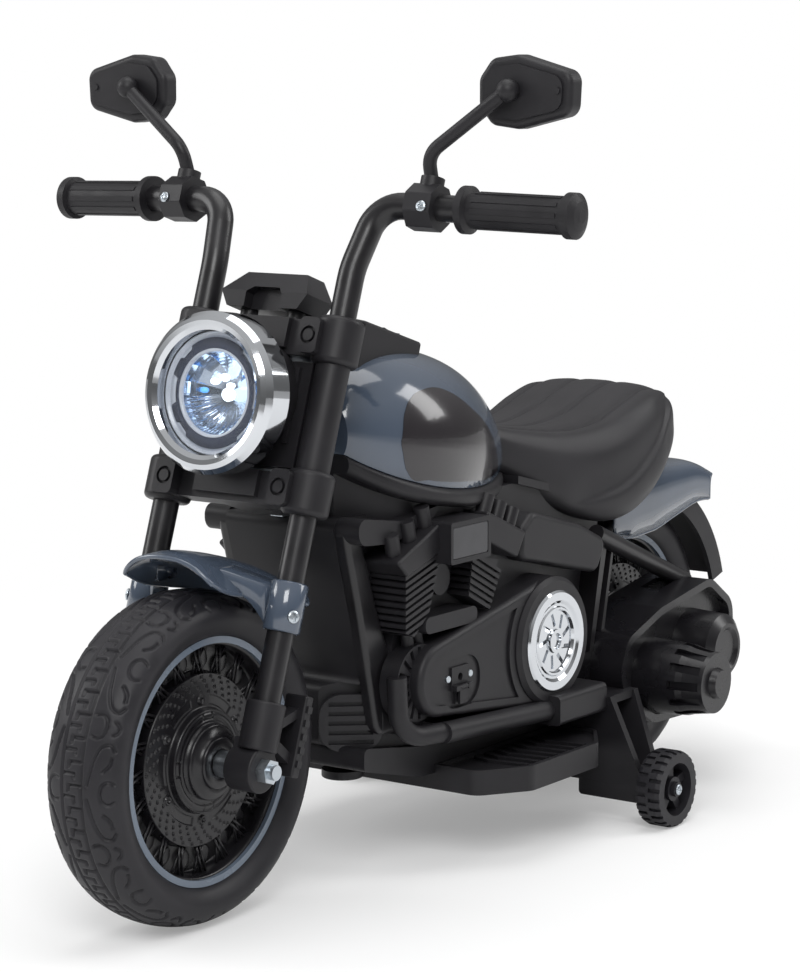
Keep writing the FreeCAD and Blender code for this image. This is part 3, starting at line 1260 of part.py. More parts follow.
def core_solid(inset, half_x):
    """Outline of the two body halves, closed in front of the rear wheel by its arch."""
    rear = CORE_REAR_Y + ARCH_R
    pairs = [(CORE_FRONT_TOP_Y, CORE_TOP_Z), (CORE_WAIST_Y, CORE_WAIST_Z),
             (CORE_NOSE_Y, CORE_WAIST_Z - WALL),
             (CORE_NOSE_Y, CORE_NOSE_Z), (CORE_FLOOR_FRONT_Y, CORE_FLOOR_Z),
             (CORE_REAR_Y + WALL, CORE_FLOOR_Z),
             (CORE_TAIL_Y, CORE_TAIL_Z), (CORE_SADDLE_Y, CORE_TOP_Z)]
    solid = prism(pairs, -half_x, half_x, CORE_CORNER_R)
    solid = solid.cut(rod(ARCH_R, (-rear, REAR_AXLE_Y, AXLE_Z), (rear, REAR_AXLE_Y, AXLE_Z)))
    if not inset:
        corner = nose_corner()
        return cut(solid, [corner, mirrored(corner)])
    flat = [f for f in solid.Faces if abs(f.CenterOfMass.x + half_x) < TOUCH]
    face = [f for f in flat if abs(f.normalAt(0, 0).x) > REACH_SHARE][0]
    room = Part.Face(face.OuterWire.makeOffset2D(-inset)).extrude(V(2 * half_x, 0, 0))
    return room.cut(block((-rear, -rear, 0), (rear, CORE_ROOM_FRONT_Y, CORE_WAIST_Z)))


def nose_corner():
    """Wedge off the side of the nose, so that its panels sweep back."""
    far_x = CORE_HALF_X + OVERRUN
    back = (CORE_NOSE_BACK_Y - CORE_NOSE_Y) / (CORE_HALF_X - CORE_NOSE_FLAT_X)
    start = CORE_NOSE_FLAT_X - OVERRUN
    return prism([(start, CORE_NOSE_Y - OVERRUN * back), (far_x, CORE_NOSE_Y - OVERRUN * back),
                  (far_x, CORE_NOSE_BACK_Y + OVERRUN * back)], 0, CORE_WAIST_Z, 0, "z")


def nose_panel():
    """Ribbed panel with round ends on the swept side of the nose."""
    sweep = math.degrees(math.atan2(CORE_NOSE_BACK_Y - CORE_NOSE_Y, CORE_HALF_X - CORE_NOSE_FLAT_X))
    length = 2 * GRILLE_HALF_X
    z = GRILLE_Z
    panel = prism([(0, z - GRILLE_HALF_Z), (length, z - GRILLE_HALF_Z), (length, z + GRILLE_HALF_Z),
                   (0, z + GRILLE_HALF_Z)],
                  -GRILLE_T, 0, GRILLE_R, "y")
    step = 2 * GRILLE_HALF_Z / (GRILLE_SLOT_COUNT + 1)
    reach = GRILLE_HALF_X * GRILLE_SLOT_SHARE
    for i in range(GRILLE_SLOT_COUNT):
        middle = z - GRILLE_HALF_Z + step * (i + 1)
        panel = panel.cut(block((GRILLE_HALF_X - reach, -GRILLE_T - OVERRUN, middle - GRILLE_SLOT_H / 2),
                                (GRILLE_HALF_X + reach, GRILLE_SLOT_DEPTH - GRILLE_T,
                                 middle + GRILLE_SLOT_H / 2)))
    panel.rotate(ORIGIN, AXIS_Z, sweep)
    panel.translate(V(CORE_NOSE_FLAT_X, CORE_NOSE_Y, 0))
    return panel


def body_shells():
    shell = core_solid(0, CORE_HALF_X).cut(core_solid(WALL, CORE_INNER_X))
    far = CORE_HALF_X + OVERRUN
    bound = TAIL_Y - FRONT_AXLE_Y
    left = shell.common(block((0, -bound, -OVERRUN), (far, bound, bound)))
    left = fused([left, nose_panel()])
    return left, mirrored(left)


def tank_section(i, inset, low_z):
    """Half-round section of the tank at one station."""
    y = TANK_FRONT_Y + TANK_STATION_SHARES[i] * (TANK_REAR_Y - TANK_FRONT_Y)
    height = TANK_TOP_Z - TANK_RIM_Z
    rim = TANK_RIM_Z + TANK_RIM_SHARES[i] * height
    crown = TANK_RIM_Z + TANK_CROWN_SHARES[i] * height - inset
    half = TANK_HALF_W * TANK_WIDTH_SHARES[i] - inset
    if low_z is not None:
        rim = low_z
    right = [V(half * a, y, rim + b * (crown - rim)) for a, b in TANK_SECTION_SHARES]
    left = [V(-p.x, p.y, p.z) for p in right[-2::-1]]
    curve = Part.BSplineCurve()
    curve.interpolate(right + left)
    foot = Part.LineSegment(left[-1], right[0]).toShape()
    return Part.Wire([curve.toShape(), foot])


def tank_solid(inset, low_z):
    sections = [tank_section(i, inset, low_z) for i in range(len(TANK_STATION_SHARES))]
    return Part.makeLoft(sections, True, False)


def rim_section(i, grow, high_drop, low_z):
    """Rounded section of the black base at one tank station."""
    y = TANK_FRONT_Y + TANK_STATION_SHARES[i] * (TANK_REAR_Y - TANK_FRONT_Y)
    height = TANK_TOP_Z - TANK_RIM_Z
    rim = TANK_RIM_Z + TANK_RIM_SHARES[i] * height
    half = TANK_HALF_W * TANK_WIDTH_SHARES[i] * TANK_SECTION_SHARES[0][0] + grow
    top = rim - high_drop
    low = top - BEAD_H if low_z is None else low_z
    points = [V(-half, y, low), V(half, y, low), V(half, y, top), V(-half, y, top)]
    return outline(points, BEAD_R if low_z is None else WALL)


def tank_base():
    count = range(len(TANK_STATION_SHARES))
    bead = Part.makeLoft([rim_section(i, BEAD_OUT, LAY_GAP, None) for i in count], True, False)
    bowl = Part.makeLoft([rim_section(i, -BOWL_IN, BEAD_H / 2, BOWL_LOW_Z) for i in count], True, False)
    return fused([bead, bowl])


def fuel_tank():
    return tank_solid(0, None)


def engine_band():
    """Curved strap below the front of the tank, on each side."""
    pairs = spread(BAND_SHARES, (BAND_FRONT_Y, BAND_LOW_Z), (BAND_REAR_Y, BAND_HIGH_Z))
    return prism(pairs, CORE_HALF_X, BAND_OUT_X, BAND_CORNER_R)


# Dash, drawn with its top at z = 0 and placed with DASH

def dash_body():
    x, y, b = DASH_HALF_X, DASH_HALF_Y, DASH_BEVEL
    plan = [(-x, -y + b), (-x + b, -y), (x - b, -y), (x, -y + b), (x, y - b / 2), (x - b / 2, y),
            (-x + b / 2, y), (-x, y - b / 2)]
    body = prism(plan, -DASH_T, 0, 0, "z")
    body = rounded(body, DASH_EDGE_R, on_plane("z", 0))
    tools = []
    for side in (-1, 1):
        middle = side * ROCKER_X
        hx = ROCKER_HALF_X + MOVE_GAP
        hy = ROCKER_HALF_Y + MOVE_GAP
        tools.append(block((middle - hx, ROCKER_Y - hy, -ROCKER_DEPTH - ROCKER_PROUD),
                           (middle + hx, ROCKER_Y + hy, OVERRUN)))
        pin = ROCKER_HALF_X + ROCKER_PIN_L + RUN_GAP
        tools.append(rod(ROCKER_PIN_R + RUN_GAP, (middle - pin, ROCKER_Y, -ROCKER_PROUD),
                         (middle + pin, ROCKER_Y, -ROCKER_PROUD)))
    horn_y = -HORN_Y
    tools.append(rod(HORN_R + RUN_GAP, (0, horn_y, -HORN_DEPTH), (0, horn_y, OVERRUN)))
    tools.append(rod(HORN_FLANGE_R + RUN_GAP, (0, horn_y, -HORN_DEPTH - HORN_TRAVEL * 2),
                     (0, horn_y, -HORN_DEPTH)))
    return cut(body, tools)


def dash_panel(tank):
    return placed(dash_body(), DASH).cut(tank)


def rocker(side):
    """Rocker with a dished top, on two pins."""
    middle = side * ROCKER_X
    top = ROCKER_PROUD
    dip = math.tan(math.radians(ROCKER_TRAVEL_DEG)) * ROCKER_HALF_Y
    low = -ROCKER_DEPTH + dip
    pairs = [(ROCKER_Y - ROCKER_HALF_Y, top), (ROCKER_Y, top - dip), (ROCKER_Y + ROCKER_HALF_Y, top),
             (ROCKER_Y + ROCKER_HALF_Y - dip, low), (ROCKER_Y - ROCKER_HALF_Y + dip, low)]
    body = prism(pairs, middle - ROCKER_HALF_X, middle + ROCKER_HALF_X, 0)
    pin = ROCKER_HALF_X + ROCKER_PIN_L
    pins = rod(ROCKER_PIN_R, (middle - pin, ROCKER_Y, -ROCKER_PROUD),
               (middle + pin, ROCKER_Y, -ROCKER_PROUD))
    return placed(fused([body, pins]), DASH)


def horn_button():
    top = rod(HORN_R, (0, -HORN_Y, -HORN_DEPTH - LAY_GAP), (0, -HORN_Y, HORN_PROUD))
    top = rounded(top, HORN_FLANGE_T / 2, on_plane("z", HORN_PROUD))
    flange = rod(HORN_FLANGE_R, (0, -HORN_Y, -HORN_DEPTH - HORN_PLAY - HORN_FLANGE_T),
                 (0, -HORN_Y, -HORN_DEPTH - HORN_PLAY))
    return placed(fused([top, flange]), DASH)


# Seat

def seat_line():
    """Underside of the seat plate, from the tank back over the rear fender."""
    return [(CORE_SADDLE_Y, CORE_TOP_Z), (CORE_TAIL_Y, CORE_TAIL_Z), (SEAT_PLATE_HIGH_Y, SEAT_PLATE_HIGH_Z),
            (SEAT_PLATE_END_Y, SEAT_PLATE_HIGH_Z)]


def seat_base():
    low = seat_line()
    high = [(y, z + SEAT_PLATE_T) for y, z in reversed(low)]
    plate = prism(low + high, -SEAT_PLATE_HALF_X, SEAT_PLATE_HALF_X, 0)
    return plate


def seat_section(i):
    y = SEAT_FRONT_Y + SEAT_STATION_SHARES[i] * (SEAT_REAR_Y - SEAT_FRONT_Y)
    height = SEAT_TOP_Z - SEAT_LOW_Z
    low = SEAT_LOW_Z + SEAT_LOW_SHARES[i] * height
    top = SEAT_LOW_Z + SEAT_TOP_SHARES[i] * height
    half = SEAT_HALF_W * SEAT_WIDTH_SHARES[i]
    rise = top - low
    foot = half * SEAT_FOOT_WIDTH_SHARE
    edge = half * SEAT_TOP_WIDTH_SHARE
    shoulder = low + rise * SEAT_CROWN_SHARES[i]
    belly = V(half, y, low + rise * SEAT_SHOULDER_SHARE)
    edges = [Part.LineSegment(V(-foot, y, low), V(foot, y, low)).toShape(),
             Part.Arc(V(foot, y, low), belly, V(edge, y, shoulder)).toShape(),
             Part.Arc(V(edge, y, shoulder), V(0, y, top), V(-edge, y, shoulder)).toShape(),
             Part.Arc(V(-edge, y, shoulder), V(-belly.x, y, belly.z), V(-foot, y, low)).toShape()]
    return Part.Wire(edges)


def seat_channel(x_share, end_share):
    """Plan strip of one sewn channel, which fans out from the nose of the seat."""
    length = SEAT_REAR_Y - SEAT_FRONT_Y
    line = []
    for y_share, fan in SEAT_CHANNEL_FAN_SHARES:
        line.append((SEAT_HALF_W * x_share * fan, SEAT_FRONT_Y + min(y_share, end_share) * length))
    near = [(x - SEAT_CHANNEL_W / 2, y) for x, y in line]
    far = [(x + SEAT_CHANNEL_W / 2, y) for x, y in reversed(line)]
    return prism(near + far, (SEAT_LOW_Z + SEAT_TOP_Z) / 2, SEAT_TOP_Z + OVERRUN, 0, "z")


def seat():
    """Moulded saddle: crowned top, drawn-in sides, hollow underneath, with channels that fan out."""
    form = Part.makeLoft([seat_section(i) for i in range(len(SEAT_STATION_SHARES))], True, False)
    line = [(y, z + SEAT_PLATE_T) for y, z in seat_line()]
    pocket = [(SEAT_FRONT_Y - OVERRUN, line[0][1])] + line + [(line[-1][0], 0), (SEAT_FRONT_Y - OVERRUN, 0)]
    room = SEAT_PLATE_HALF_X + LAY_GAP
    form = form.cut(prism(pocket, -room, room, 0))
    lowered = form.copy()
    lowered.translate(V(0, 0, -SEAT_CHANNEL_DEPTH))
    skin = form.cut(lowered)
    for x_share, end_share in zip(SEAT_CHANNEL_X_SHARES, SEAT_CHANNEL_END_SHARES):
        channel = seat_channel(x_share, end_share).common(skin)
        form = cut(form, [channel, mirrored(channel)])
    return form


# Rear

def rear_fender():
    """Crowned blade over the wheel with a wall down each side and a round tail."""
    route = [(REAR_FENDER_START_Y, REAR_FENDER_START_Z), (REAR_FENDER_RISE_Y, REAR_FENDER_TOP_Z),
             (REAR_FENDER_BACK_Y, REAR_FENDER_TOP_Z), (REAR_FENDER_BEND_Y, REAR_FENDER_BEND_Z),
             (TAIL_Y, TAIL_Z)]
    drop = REAR_FENDER_CROWN + REAR_FENDER_T / 2
    blade = channel_sweep(route, REAR_FENDER_BEND_R, REAR_FENDER_HALF_W, REAR_FENDER_CROWN, 0, REAR_FENDER_T)
    edge = spread(REAR_FENDER_EDGE_SHARES, (REAR_FENDER_START_Y, REAR_FENDER_LOW_Z),
                  (TAIL_Y, REAR_FENDER_START_Z))
    side = prism([(y, z - drop) for y, z in route] + edge, REAR_FENDER_HALF_W - REAR_FENDER_T,
                 REAR_FENDER_HALF_W, REAR_FENDER_T)
    round_y = TAIL_Y - REAR_FENDER_HALF_W
    far = REAR_FENDER_HALF_W + OVERRUN
    keep = block((-far, CORE_REAR_Y, 0), (far, round_y, SEAT_TOP_Z)).fuse(
        rod(REAR_FENDER_HALF_W, (0, round_y, 0), (0, round_y, SEAT_TOP_Z)))
    return blade.fuse(side).fuse(mirrored(side)).common(keep)


def arm_pairs():
    return spread(ARM_SHARES, (ARM_FRONT_Y, ARM_LOW_Z), (ARM_REAR_Y, ARM_HIGH_Z))


def arm_prism(low, high, inset):
    solid = prism(arm_pairs(), low, high, ARM_CORNER_R)
    if not inset:
        return solid
    face = [f for f in solid.Faces if abs(f.CenterOfMass.x - low) < TOUCH][0]
    return Part.Face(face.OuterWire.makeOffset2D(-inset)).extrude(V(high - low, 0, 0))


def arm_room():
    """Space inside the left housing for the two gears."""
    low = GEAR_IN_X - GEAR_ROOM
    tip = GEAR_MODULE + GEAR_ROOM
    gear_r = GEAR_MODULE * GEAR_TEETH / 2 + tip
    pinion_r = GEAR_MODULE * PINION_TEETH / 2 + tip
    return [rod(gear_r, (low, REAR_AXLE_Y, AXLE_Z), (ARM_COVER_X, REAR_AXLE_Y, AXLE_Z)),
            rod(pinion_r, (low, MOTOR_Y, MOTOR_Z), (ARM_COVER_X, MOTOR_Y, MOTOR_Z)),
            rod(GEAR_HUB_R + MOVE_GAP, (ARM_IN_X - OVERRUN, REAR_AXLE_Y, AXLE_Z),
                (low + OVERRUN, REAR_AXLE_Y, AXLE_Z))]


def arm_lug():
    return prism([(ARM_LUG_FRONT_Y, ARM_LUG_LOW_Z), (ARM_FRONT_Y + ARM_CORNER_R, ARM_LUG_LOW_Z),
                  (ARM_FRONT_Y + ARM_CORNER_R, ARM_LUG_HIGH_Z), (ARM_LUG_FRONT_Y, ARM_LUG_HIGH_Z)],
                 CORE_HALF_X, ARM_LUG_OUT_X, ARM_LUG_CORNER_R)


def axle_bore(radius, low, high):
    return rod(radius, (low, REAR_AXLE_Y, AXLE_Z), (high, REAR_AXLE_Y, AXLE_Z))


def arm_lip(low):
    ring = arm_prism(low, ARM_LIP_X, 0)
    return ring.cut(arm_prism(low - OVERRUN, ARM_LIP_X + OVERRUN, ARM_LIP_W))


def swingarm_left():
    body = cut(arm_prism(ARM_IN_X, ARM_COVER_X, 0), arm_room())
    return body.fuse(arm_lip(ARM_COVER_X)).fuse(arm_lug())


def swingarm_right():
    whole = fused([arm_prism(ARM_IN_X, ARM_FACE_X, 0), arm_lip(ARM_FACE_X), arm_lug()])
    return mirrored(whole.cut(axle_bore(REAR_AXLE_R, ARM_IN_X - OVERRUN, ARM_LIP_X)))


def motor_cover():
    """Outer cover of the gear case with the ribbed can over the motor."""
    plate = arm_prism(ARM_COVER_X, ARM_FACE_X, ARM_LIP_W)
    can = turned([(ARM_FACE_X, 0), (ARM_FACE_X, CAN_R), (CAN_STEP_X, CAN_R - CAN_BOSS_H / 2),
                  (CAN_STEP_X + CAN_BOSS_H, CAN_END_R),
                  (CAN_END_X - CAN_BOSS_H, CAN_END_R - CAN_BOSS_H / 2), (CAN_END_X - CAN_BOSS_H, CAN_BOSS_R),
                  (CAN_END_X, CAN_BOSS_R - CAN_BOSS_EDGE),
                  (CAN_END_X, 0)], MOTOR_Y, MOTOR_Z)
    whole = fused([plate, can])
    groove = block((CAN_STEP_X - CAN_RIB_W, MOTOR_Y - CAN_RIB_W / 2, MOTOR_Z + CAN_END_R - CAN_RIB_DEPTH),
                   (CAN_END_X - CAN_BOSS_H * CAN_GROOVE_END_SHARE, MOTOR_Y + CAN_RIB_W / 2,
                    MOTOR_Z + CAN_R + OVERRUN))
    grooves = turned_copies(groove, CAN_RIB_COUNT, V(0, MOTOR_Y, MOTOR_Z), AXIS_X)
    room = rod(MOTOR_R, (ARM_COVER_X - OVERRUN, MOTOR_Y, MOTOR_Z), (MOTOR_IN_X + MOTOR_L, MOTOR_Y, MOTOR_Z))
    bore = axle_bore(REAR_AXLE_R, ARM_COVER_X - OVERRUN, ARM_FACE_X + OVERRUN)
    return cut(whole, [Part.makeCompound(grooves), room, bore, arm_lip(ARM_COVER_X)])


def drive_motor():
    shaft_seat = rod(MOTOR_SHAFT_R + RUN_GAP, (MOTOR_IN_X - OVERRUN, MOTOR_Y, MOTOR_Z),
                     (MOTOR_IN_X + MOTOR_SHAFT_SEAT, MOTOR_Y, MOTOR_Z))
    body = rod(MOTOR_R, (MOTOR_IN_X, MOTOR_Y, MOTOR_Z), (MOTOR_IN_X + MOTOR_L, MOTOR_Y, MOTOR_Z))
    return body.cut(shaft_seat)


def gear_blank(teeth, centre_y, centre_z, first_turn):
    """Toothed disc; first_turn is the angle of the middle of its first tooth."""
    pitch_r = GEAR_MODULE * teeth / 2
    root = pitch_r - GEAR_MODULE * TOOTH_ROOT_DEPTH_SHARE
    tip = pitch_r + GEAR_MODULE * TOOTH_TIP_HEIGHT_SHARE
    step = 2 * math.pi / teeth
    pairs = []
    for i in range(teeth):
        middle = first_turn + step * i
        for radius, share in ((root, -TOOTH_ROOT_SHARE), (tip, -TOOTH_TIP_SHARE), (tip, TOOTH_TIP_SHARE),
                              (root, TOOTH_ROOT_SHARE)):
            turn = middle + share * step / 2
            pairs.append((centre_y + radius * math.cos(turn), centre_z + radius * math.sin(turn)))
    return prism(pairs, GEAR_IN_X, GEAR_IN_X + GEAR_W, 0)


def mesh_turn():
    return math.atan2(MOTOR_Z - AXLE_Z, MOTOR_Y - REAR_AXLE_Y)


def drive_gear():
    blank = gear_blank(GEAR_TEETH, REAR_AXLE_Y, AXLE_Z, mesh_turn())
    hub = axle_bore(GEAR_HUB_R, HUB_HALF_W, GEAR_IN_X + GEAR_W)
    return fused([blank, hub]).cut(axle_bore(REAR_AXLE_R + RUN_GAP, HUB_HALF_W - OVERRUN, ARM_COVER_X))


def motor_pinion():
    half_pitch = math.pi / PINION_TEETH
    blank = gear_blank(PINION_TEETH, MOTOR_Y, MOTOR_Z, mesh_turn() + math.pi + half_pitch)
    shaft = rod(MOTOR_SHAFT_R, (GEAR_IN_X, MOTOR_Y, MOTOR_Z),
                (MOTOR_IN_X + MOTOR_SHAFT_SEAT - RUN_GAP, MOTOR_Y, MOTOR_Z))
    return fused([blank, shaft])


def axle_cap():
    cup = turned([(ARM_FACE_X, 0), (ARM_FACE_X, CAP_R), (CAP_FACE_X - CAP_BEVEL, CAP_R - CAP_DRAFT),
                  (CAP_FACE_X, CAP_END_R - CAP_BEVEL),
                  (CAP_FACE_X, CAP_HOLE_R), (CAP_FACE_X - CAP_BEVEL / 2, CAP_HOLE_R - CAP_BEVEL / 2),
                  (CAP_FACE_X - CAP_BEVEL / 2, 0)], REAR_AXLE_Y, AXLE_Z)
    return cup.cut(axle_bore(CAP_HOLE_R, ARM_FACE_X - OVERRUN, ARM_FACE_X + CAP_HOLE_DEPTH))


def mudguard(arms):
    """Inner guard round the back of the tyre, with a flange down each side."""
    w, r, t, s = MUDGUARD_HALF_W, MUDGUARD_R, MUDGUARD_T, MUDGUARD_SIDE
    profile = [(-w, r - s), (-w, r + t), (w, r + t), (w, r - s), (w - t, r - s), (w - t, r), (t - w, r),
               (t - w, r - s)]
    points = [V(x, REAR_AXLE_Y, AXLE_Z + radius) for x, radius in profile]
    face = Part.Face(Part.makePolygon(points + points[:1]))
    centre = V(0, REAR_AXLE_Y, AXLE_Z)
    face.rotate(centre, AXIS_X, MUDGUARD_FROM_DEG - HALF_TURN_DEG / 2)
    guard = face.revolve(centre, AXIS_X, MUDGUARD_TO_DEG - MUDGUARD_FROM_DEG)
    return cut(guard, arms)


def rear_stay(arm, plate):
    """Slanted bar from the body to the swing arm, with a channel strut in front of it."""
    bar = rod(STAY_R, (STAY_X, STAY_TOP_Y, STAY_TOP_Z), (STAY_X, STAY_END_Y, STAY_END_Z))
    strut = prism([(STRUT_LOW_Y - STRUT_HALF_Y, STRUT_LOW_Z), (STRUT_LOW_Y + STRUT_HALF_Y, STRUT_LOW_Z),
                   (STRUT_TOP_Y + STRUT_HALF_Y, STRUT_TOP_Z), (STRUT_TOP_Y - STRUT_HALF_Y, STRUT_TOP_Z)],
                  CORE_HALF_X, STRUT_OUT_X, 0)
    groove = prism([(STRUT_LOW_Y - STRUT_GROOVE_HALF_Y, STRUT_LOW_Z - OVERRUN),
                    (STRUT_LOW_Y + STRUT_GROOVE_HALF_Y, STRUT_LOW_Z - OVERRUN),
                    (STRUT_TOP_Y + STRUT_GROOVE_HALF_Y, STRUT_TOP_Z - STRUT_HALF_Y),
                    (STRUT_TOP_Y - STRUT_GROOVE_HALF_Y, STRUT_TOP_Z - STRUT_HALF_Y)],
                   STRUT_OUT_X - STRUT_GROOVE_DEPTH, STRUT_OUT_X + OVERRUN, 0)
    return cut(fused([bar, strut.cut(groove)]), [arm, plate])


# Engine

def cylinder(head_shares, barrel_shares, low, high, lean):
    """Finned barrel under its head, with three bolt towers; the fins lie across the lean."""
    head = spread(head_shares, low, high)
    barrel = spread(barrel_shares, low, high)
    body = prism(barrel, CORE_HALF_X, CYL_OUT_X, 0)
    face = Part.makePolygon([lift(p, "x", CORE_HALF_X) for p in barrel + barrel[:1]])
    core = Part.Face(face.makeOffset2D(-CYL_CORE_IN)).extrude(V(CYL_OUT_X - CYL_CORE_IN - CORE_HALF_X, 0, 0))
    span = high[1] - low[1]
    step = CYL_FIN_T + CYL_FIN_GAP
    start_y, start_z = barrel[0]
    slabs = []
    for i in range(int(span / step)):
        slab = block((CORE_HALF_X, start_y - span, start_z - step * i - CYL_FIN_T),
                     (CYL_OUT_X, start_y + span, start_z - step * i))
        slab.rotate(V(0, start_y, start_z), AXIS_X, lean)
        slabs.append(slab)
    fins = [fin for fin in body.common(Part.makeCompound(slabs)).Solids if fin.Volume > CYL_FIN_T ** 3]
    top = rounded(prism(head, CORE_HALF_X, CYL_HEAD_OUT_X, CYL_EDGE_R), CYL_EDGE_R,
                  on_plane("x", CYL_HEAD_OUT_X))
    up_y, up_z = -math.sin(math.radians(lean)), math.cos(math.radians(lean))
    towers = []
    for share in STUB_SHARES:
        y = head[0][0] + share * (head[1][0] - head[0][0])
        z = head[0][1] + share * (head[1][1] - head[0][1])
        towers.append(rod(STUB_R, (STUB_X, y - up_y * STUB_SINK, z - up_z * STUB_SINK),
                          (STUB_X, y + up_y * STUB_H, z + up_z * STUB_H)))
    return [core, top] + fins + towers


def air_cleaner():
    """Box between the cylinders, with a bare sunk plate on its face."""
    y, z, hy, hz = FILTER_Y, FILTER_Z, FILTER_HALF_Y, FILTER_HALF_Z
    body = prism([(y - hy, z - hz), (y + hy, z - hz), (y + hy, z + hz), (y - hy, z + hz)], CORE_HALF_X,
                 FILTER_OUT_X, FILTER_CORNER_R)
    plate = prism([(y - hy + FILTER_PLATE_LEFT, z - hz + FILTER_PLATE_IN),
                   (y + hy - FILTER_PLATE_IN, z - hz + FILTER_PLATE_IN),
                   (y + hy - FILTER_PLATE_IN, z + hz - FILTER_PLATE_IN),
                   (y - hy + FILTER_PLATE_LEFT, z + hz - FILTER_PLATE_IN)],
                  FILTER_OUT_X - FILTER_PLATE_SINK, FILTER_OUT_X + OVERRUN, FILTER_PLATE_SINK)
    return body.cut(plate)


def tangent_pairs(grow):
    """Outline of the primary cover: two circles and the runs that touch both."""
    front_r = PRIMARY_FRONT_R + grow
    rear_r = DISC_HOUSING_R + grow
    dy = DISC_Y - PRIMARY_FRONT_Y
    dz = DISC_Z - PRIMARY_FRONT_Z
    distance = math.hypot(dy, dz)
    along = math.atan2(dz, dy)
    open_turn = math.acos((front_r - rear_r) / distance)

    def on_circle(cy, cz, radius, turn):
        return (cy + radius * math.cos(turn), cz + radius * math.sin(turn))

    up, down = along + open_turn, along - open_turn
    return [(on_circle(PRIMARY_FRONT_Y, PRIMARY_FRONT_Z, front_r, down),
             on_circle(DISC_Y, DISC_Z, rear_r, down)),
            on_circle(DISC_Y, DISC_Z, rear_r, along),
            (on_circle(DISC_Y, DISC_Z, rear_r, up),
             on_circle(PRIMARY_FRONT_Y, PRIMARY_FRONT_Z, front_r, up)),
            on_circle(PRIMARY_FRONT_Y, PRIMARY_FRONT_Z, front_r, along + math.pi)]


def primary_prism(grow, low, high):
    (low_front, low_rear), rear, (up_rear, up_front), front = tangent_pairs(grow)
    points = [lift(p, "x", low) for p in (low_front, low_rear, rear, up_rear, up_front, front)]
    edges = [Part.LineSegment(points[0], points[1]).toShape(),
             Part.Arc(points[1], points[2], points[3]).toShape(),
             Part.LineSegment(points[3], points[4]).toShape(),
             Part.Arc(points[4], points[5], points[0]).toShape()]
    return Part.Face(Part.Wire(edges)).extrude(V(high - low, 0, 0))


def primary_cover(with_port):
    """Cover round two circles, with a sunk panel and a drum for the plated disc."""
    body = rounded(primary_prism(0, CORE_HALF_X, PRIMARY_OUT_X), PRIMARY_EDGE_R,
                   on_plane("x", PRIMARY_OUT_X))
    floor = PRIMARY_OUT_X - PRIMARY_PANEL_SINK
    panel = primary_prism(-PRIMARY_PANEL_IN, floor, PRIMARY_OUT_X + OVERRUN)
    panel = panel.cut(rod(DISC_HOUSING_R + PRIMARY_PANEL_GAP, (0, DISC_Y, DISC_Z),
                          (DISC_HOUSING_X, DISC_Y, DISC_Z)))
    drum = turned([(CORE_HALF_X, 0), (CORE_HALF_X, DISC_HOUSING_R),
                   (DISC_HOUSING_X - PRIMARY_STEP_H, DISC_HOUSING_R),
                   (DISC_HOUSING_X, DISC_HOUSING_R - PRIMARY_STEP_H), (DISC_HOUSING_X, 0)], DISC_Y, DISC_Z)
    seat_room = turned([(DISC_HOUSING_X - DISC_SINK, 0), (DISC_HOUSING_X - DISC_SINK, DISC_R),
                        (DISC_HOUSING_X + OVERRUN, DISC_R), (DISC_HOUSING_X + OVERRUN, 0)], DISC_Y, DISC_Z)
    whole = fused([body.cut(panel), drum]).cut(seat_room)
    if not with_port:
        return whole
    floor = PRIMARY_OUT_X - PORT_SINK
    low, high = (PORT_Y - PORT_HALF_Y, PORT_Z - PORT_R), (PORT_Y + PORT_HALF_Y, PORT_Z + PORT_R)
    recess = prism([low, (high[0], low[1]), high, (low[0], high[1])], floor, PRIMARY_OUT_X + OVERRUN, PORT_R)
    jack = rod(SOCKET_BODY_R, (floor - SOCKET_JACK_DEPTH, PORT_Y, PORT_Z + SOCKET_JACK_Z),
               (PRIMARY_OUT_X, PORT_Y, PORT_Z + SOCKET_JACK_Z))
    return cut(whole, [recess, jack])


def chrome_disc():
    """Stepped plated disc with leaning vanes round a plain hub."""
    base = DISC_HOUSING_X - DISC_SINK
    steps = [(DISC_HOUSING_X + a * DISC_CROWN, b * DISC_R) for a, b in DISC_STEP_SHARES]
    body = turned([(base, 0), (base, DISC_R)] + steps, DISC_Y, DISC_Z)
    start = DISC_R * DISC_VANE_FROM_SHARE
    end = DISC_R * DISC_VANE_TO_SHARE
    slot = block((DISC_HOUSING_X - DISC_VANE_DEPTH, DISC_Y - DISC_VANE_W / 2, DISC_Z + start),
                 (DISC_HOUSING_X + DISC_CROWN, DISC_Y + DISC_VANE_W / 2, DISC_Z + end))
    slot.rotate(V(0, DISC_Y, DISC_Z + start), AXIS_X, DISC_VANE_LEAN_DEG)
    slots = turned_copies(slot, DISC_VANE_COUNT, V(0, DISC_Y, DISC_Z), AXIS_X)
    return body.cut(Part.makeCompound(slots))


def socket_plate_pairs():
    y, z = PORT_Y, PORT_Z
    return [(y - SOCKET_LEG_HALF_Y, z + SOCKET_LEG_LOW), (y + SOCKET_LEG_HALF_Y, z + SOCKET_LEG_LOW),
            (y + SOCKET_LEG_HALF_Y, z + SOCKET_HEAD_LOW),
            (y + SOCKET_HALF_Y, z + SOCKET_HEAD_LOW), (y + SOCKET_HALF_Y, z + SOCKET_HEAD_HIGH),
            (y - SOCKET_HALF_Y, z + SOCKET_HEAD_HIGH),
            (y - SOCKET_HALF_Y, z + SOCKET_HEAD_LOW), (y - SOCKET_LEG_HALF_Y, z + SOCKET_HEAD_LOW)]


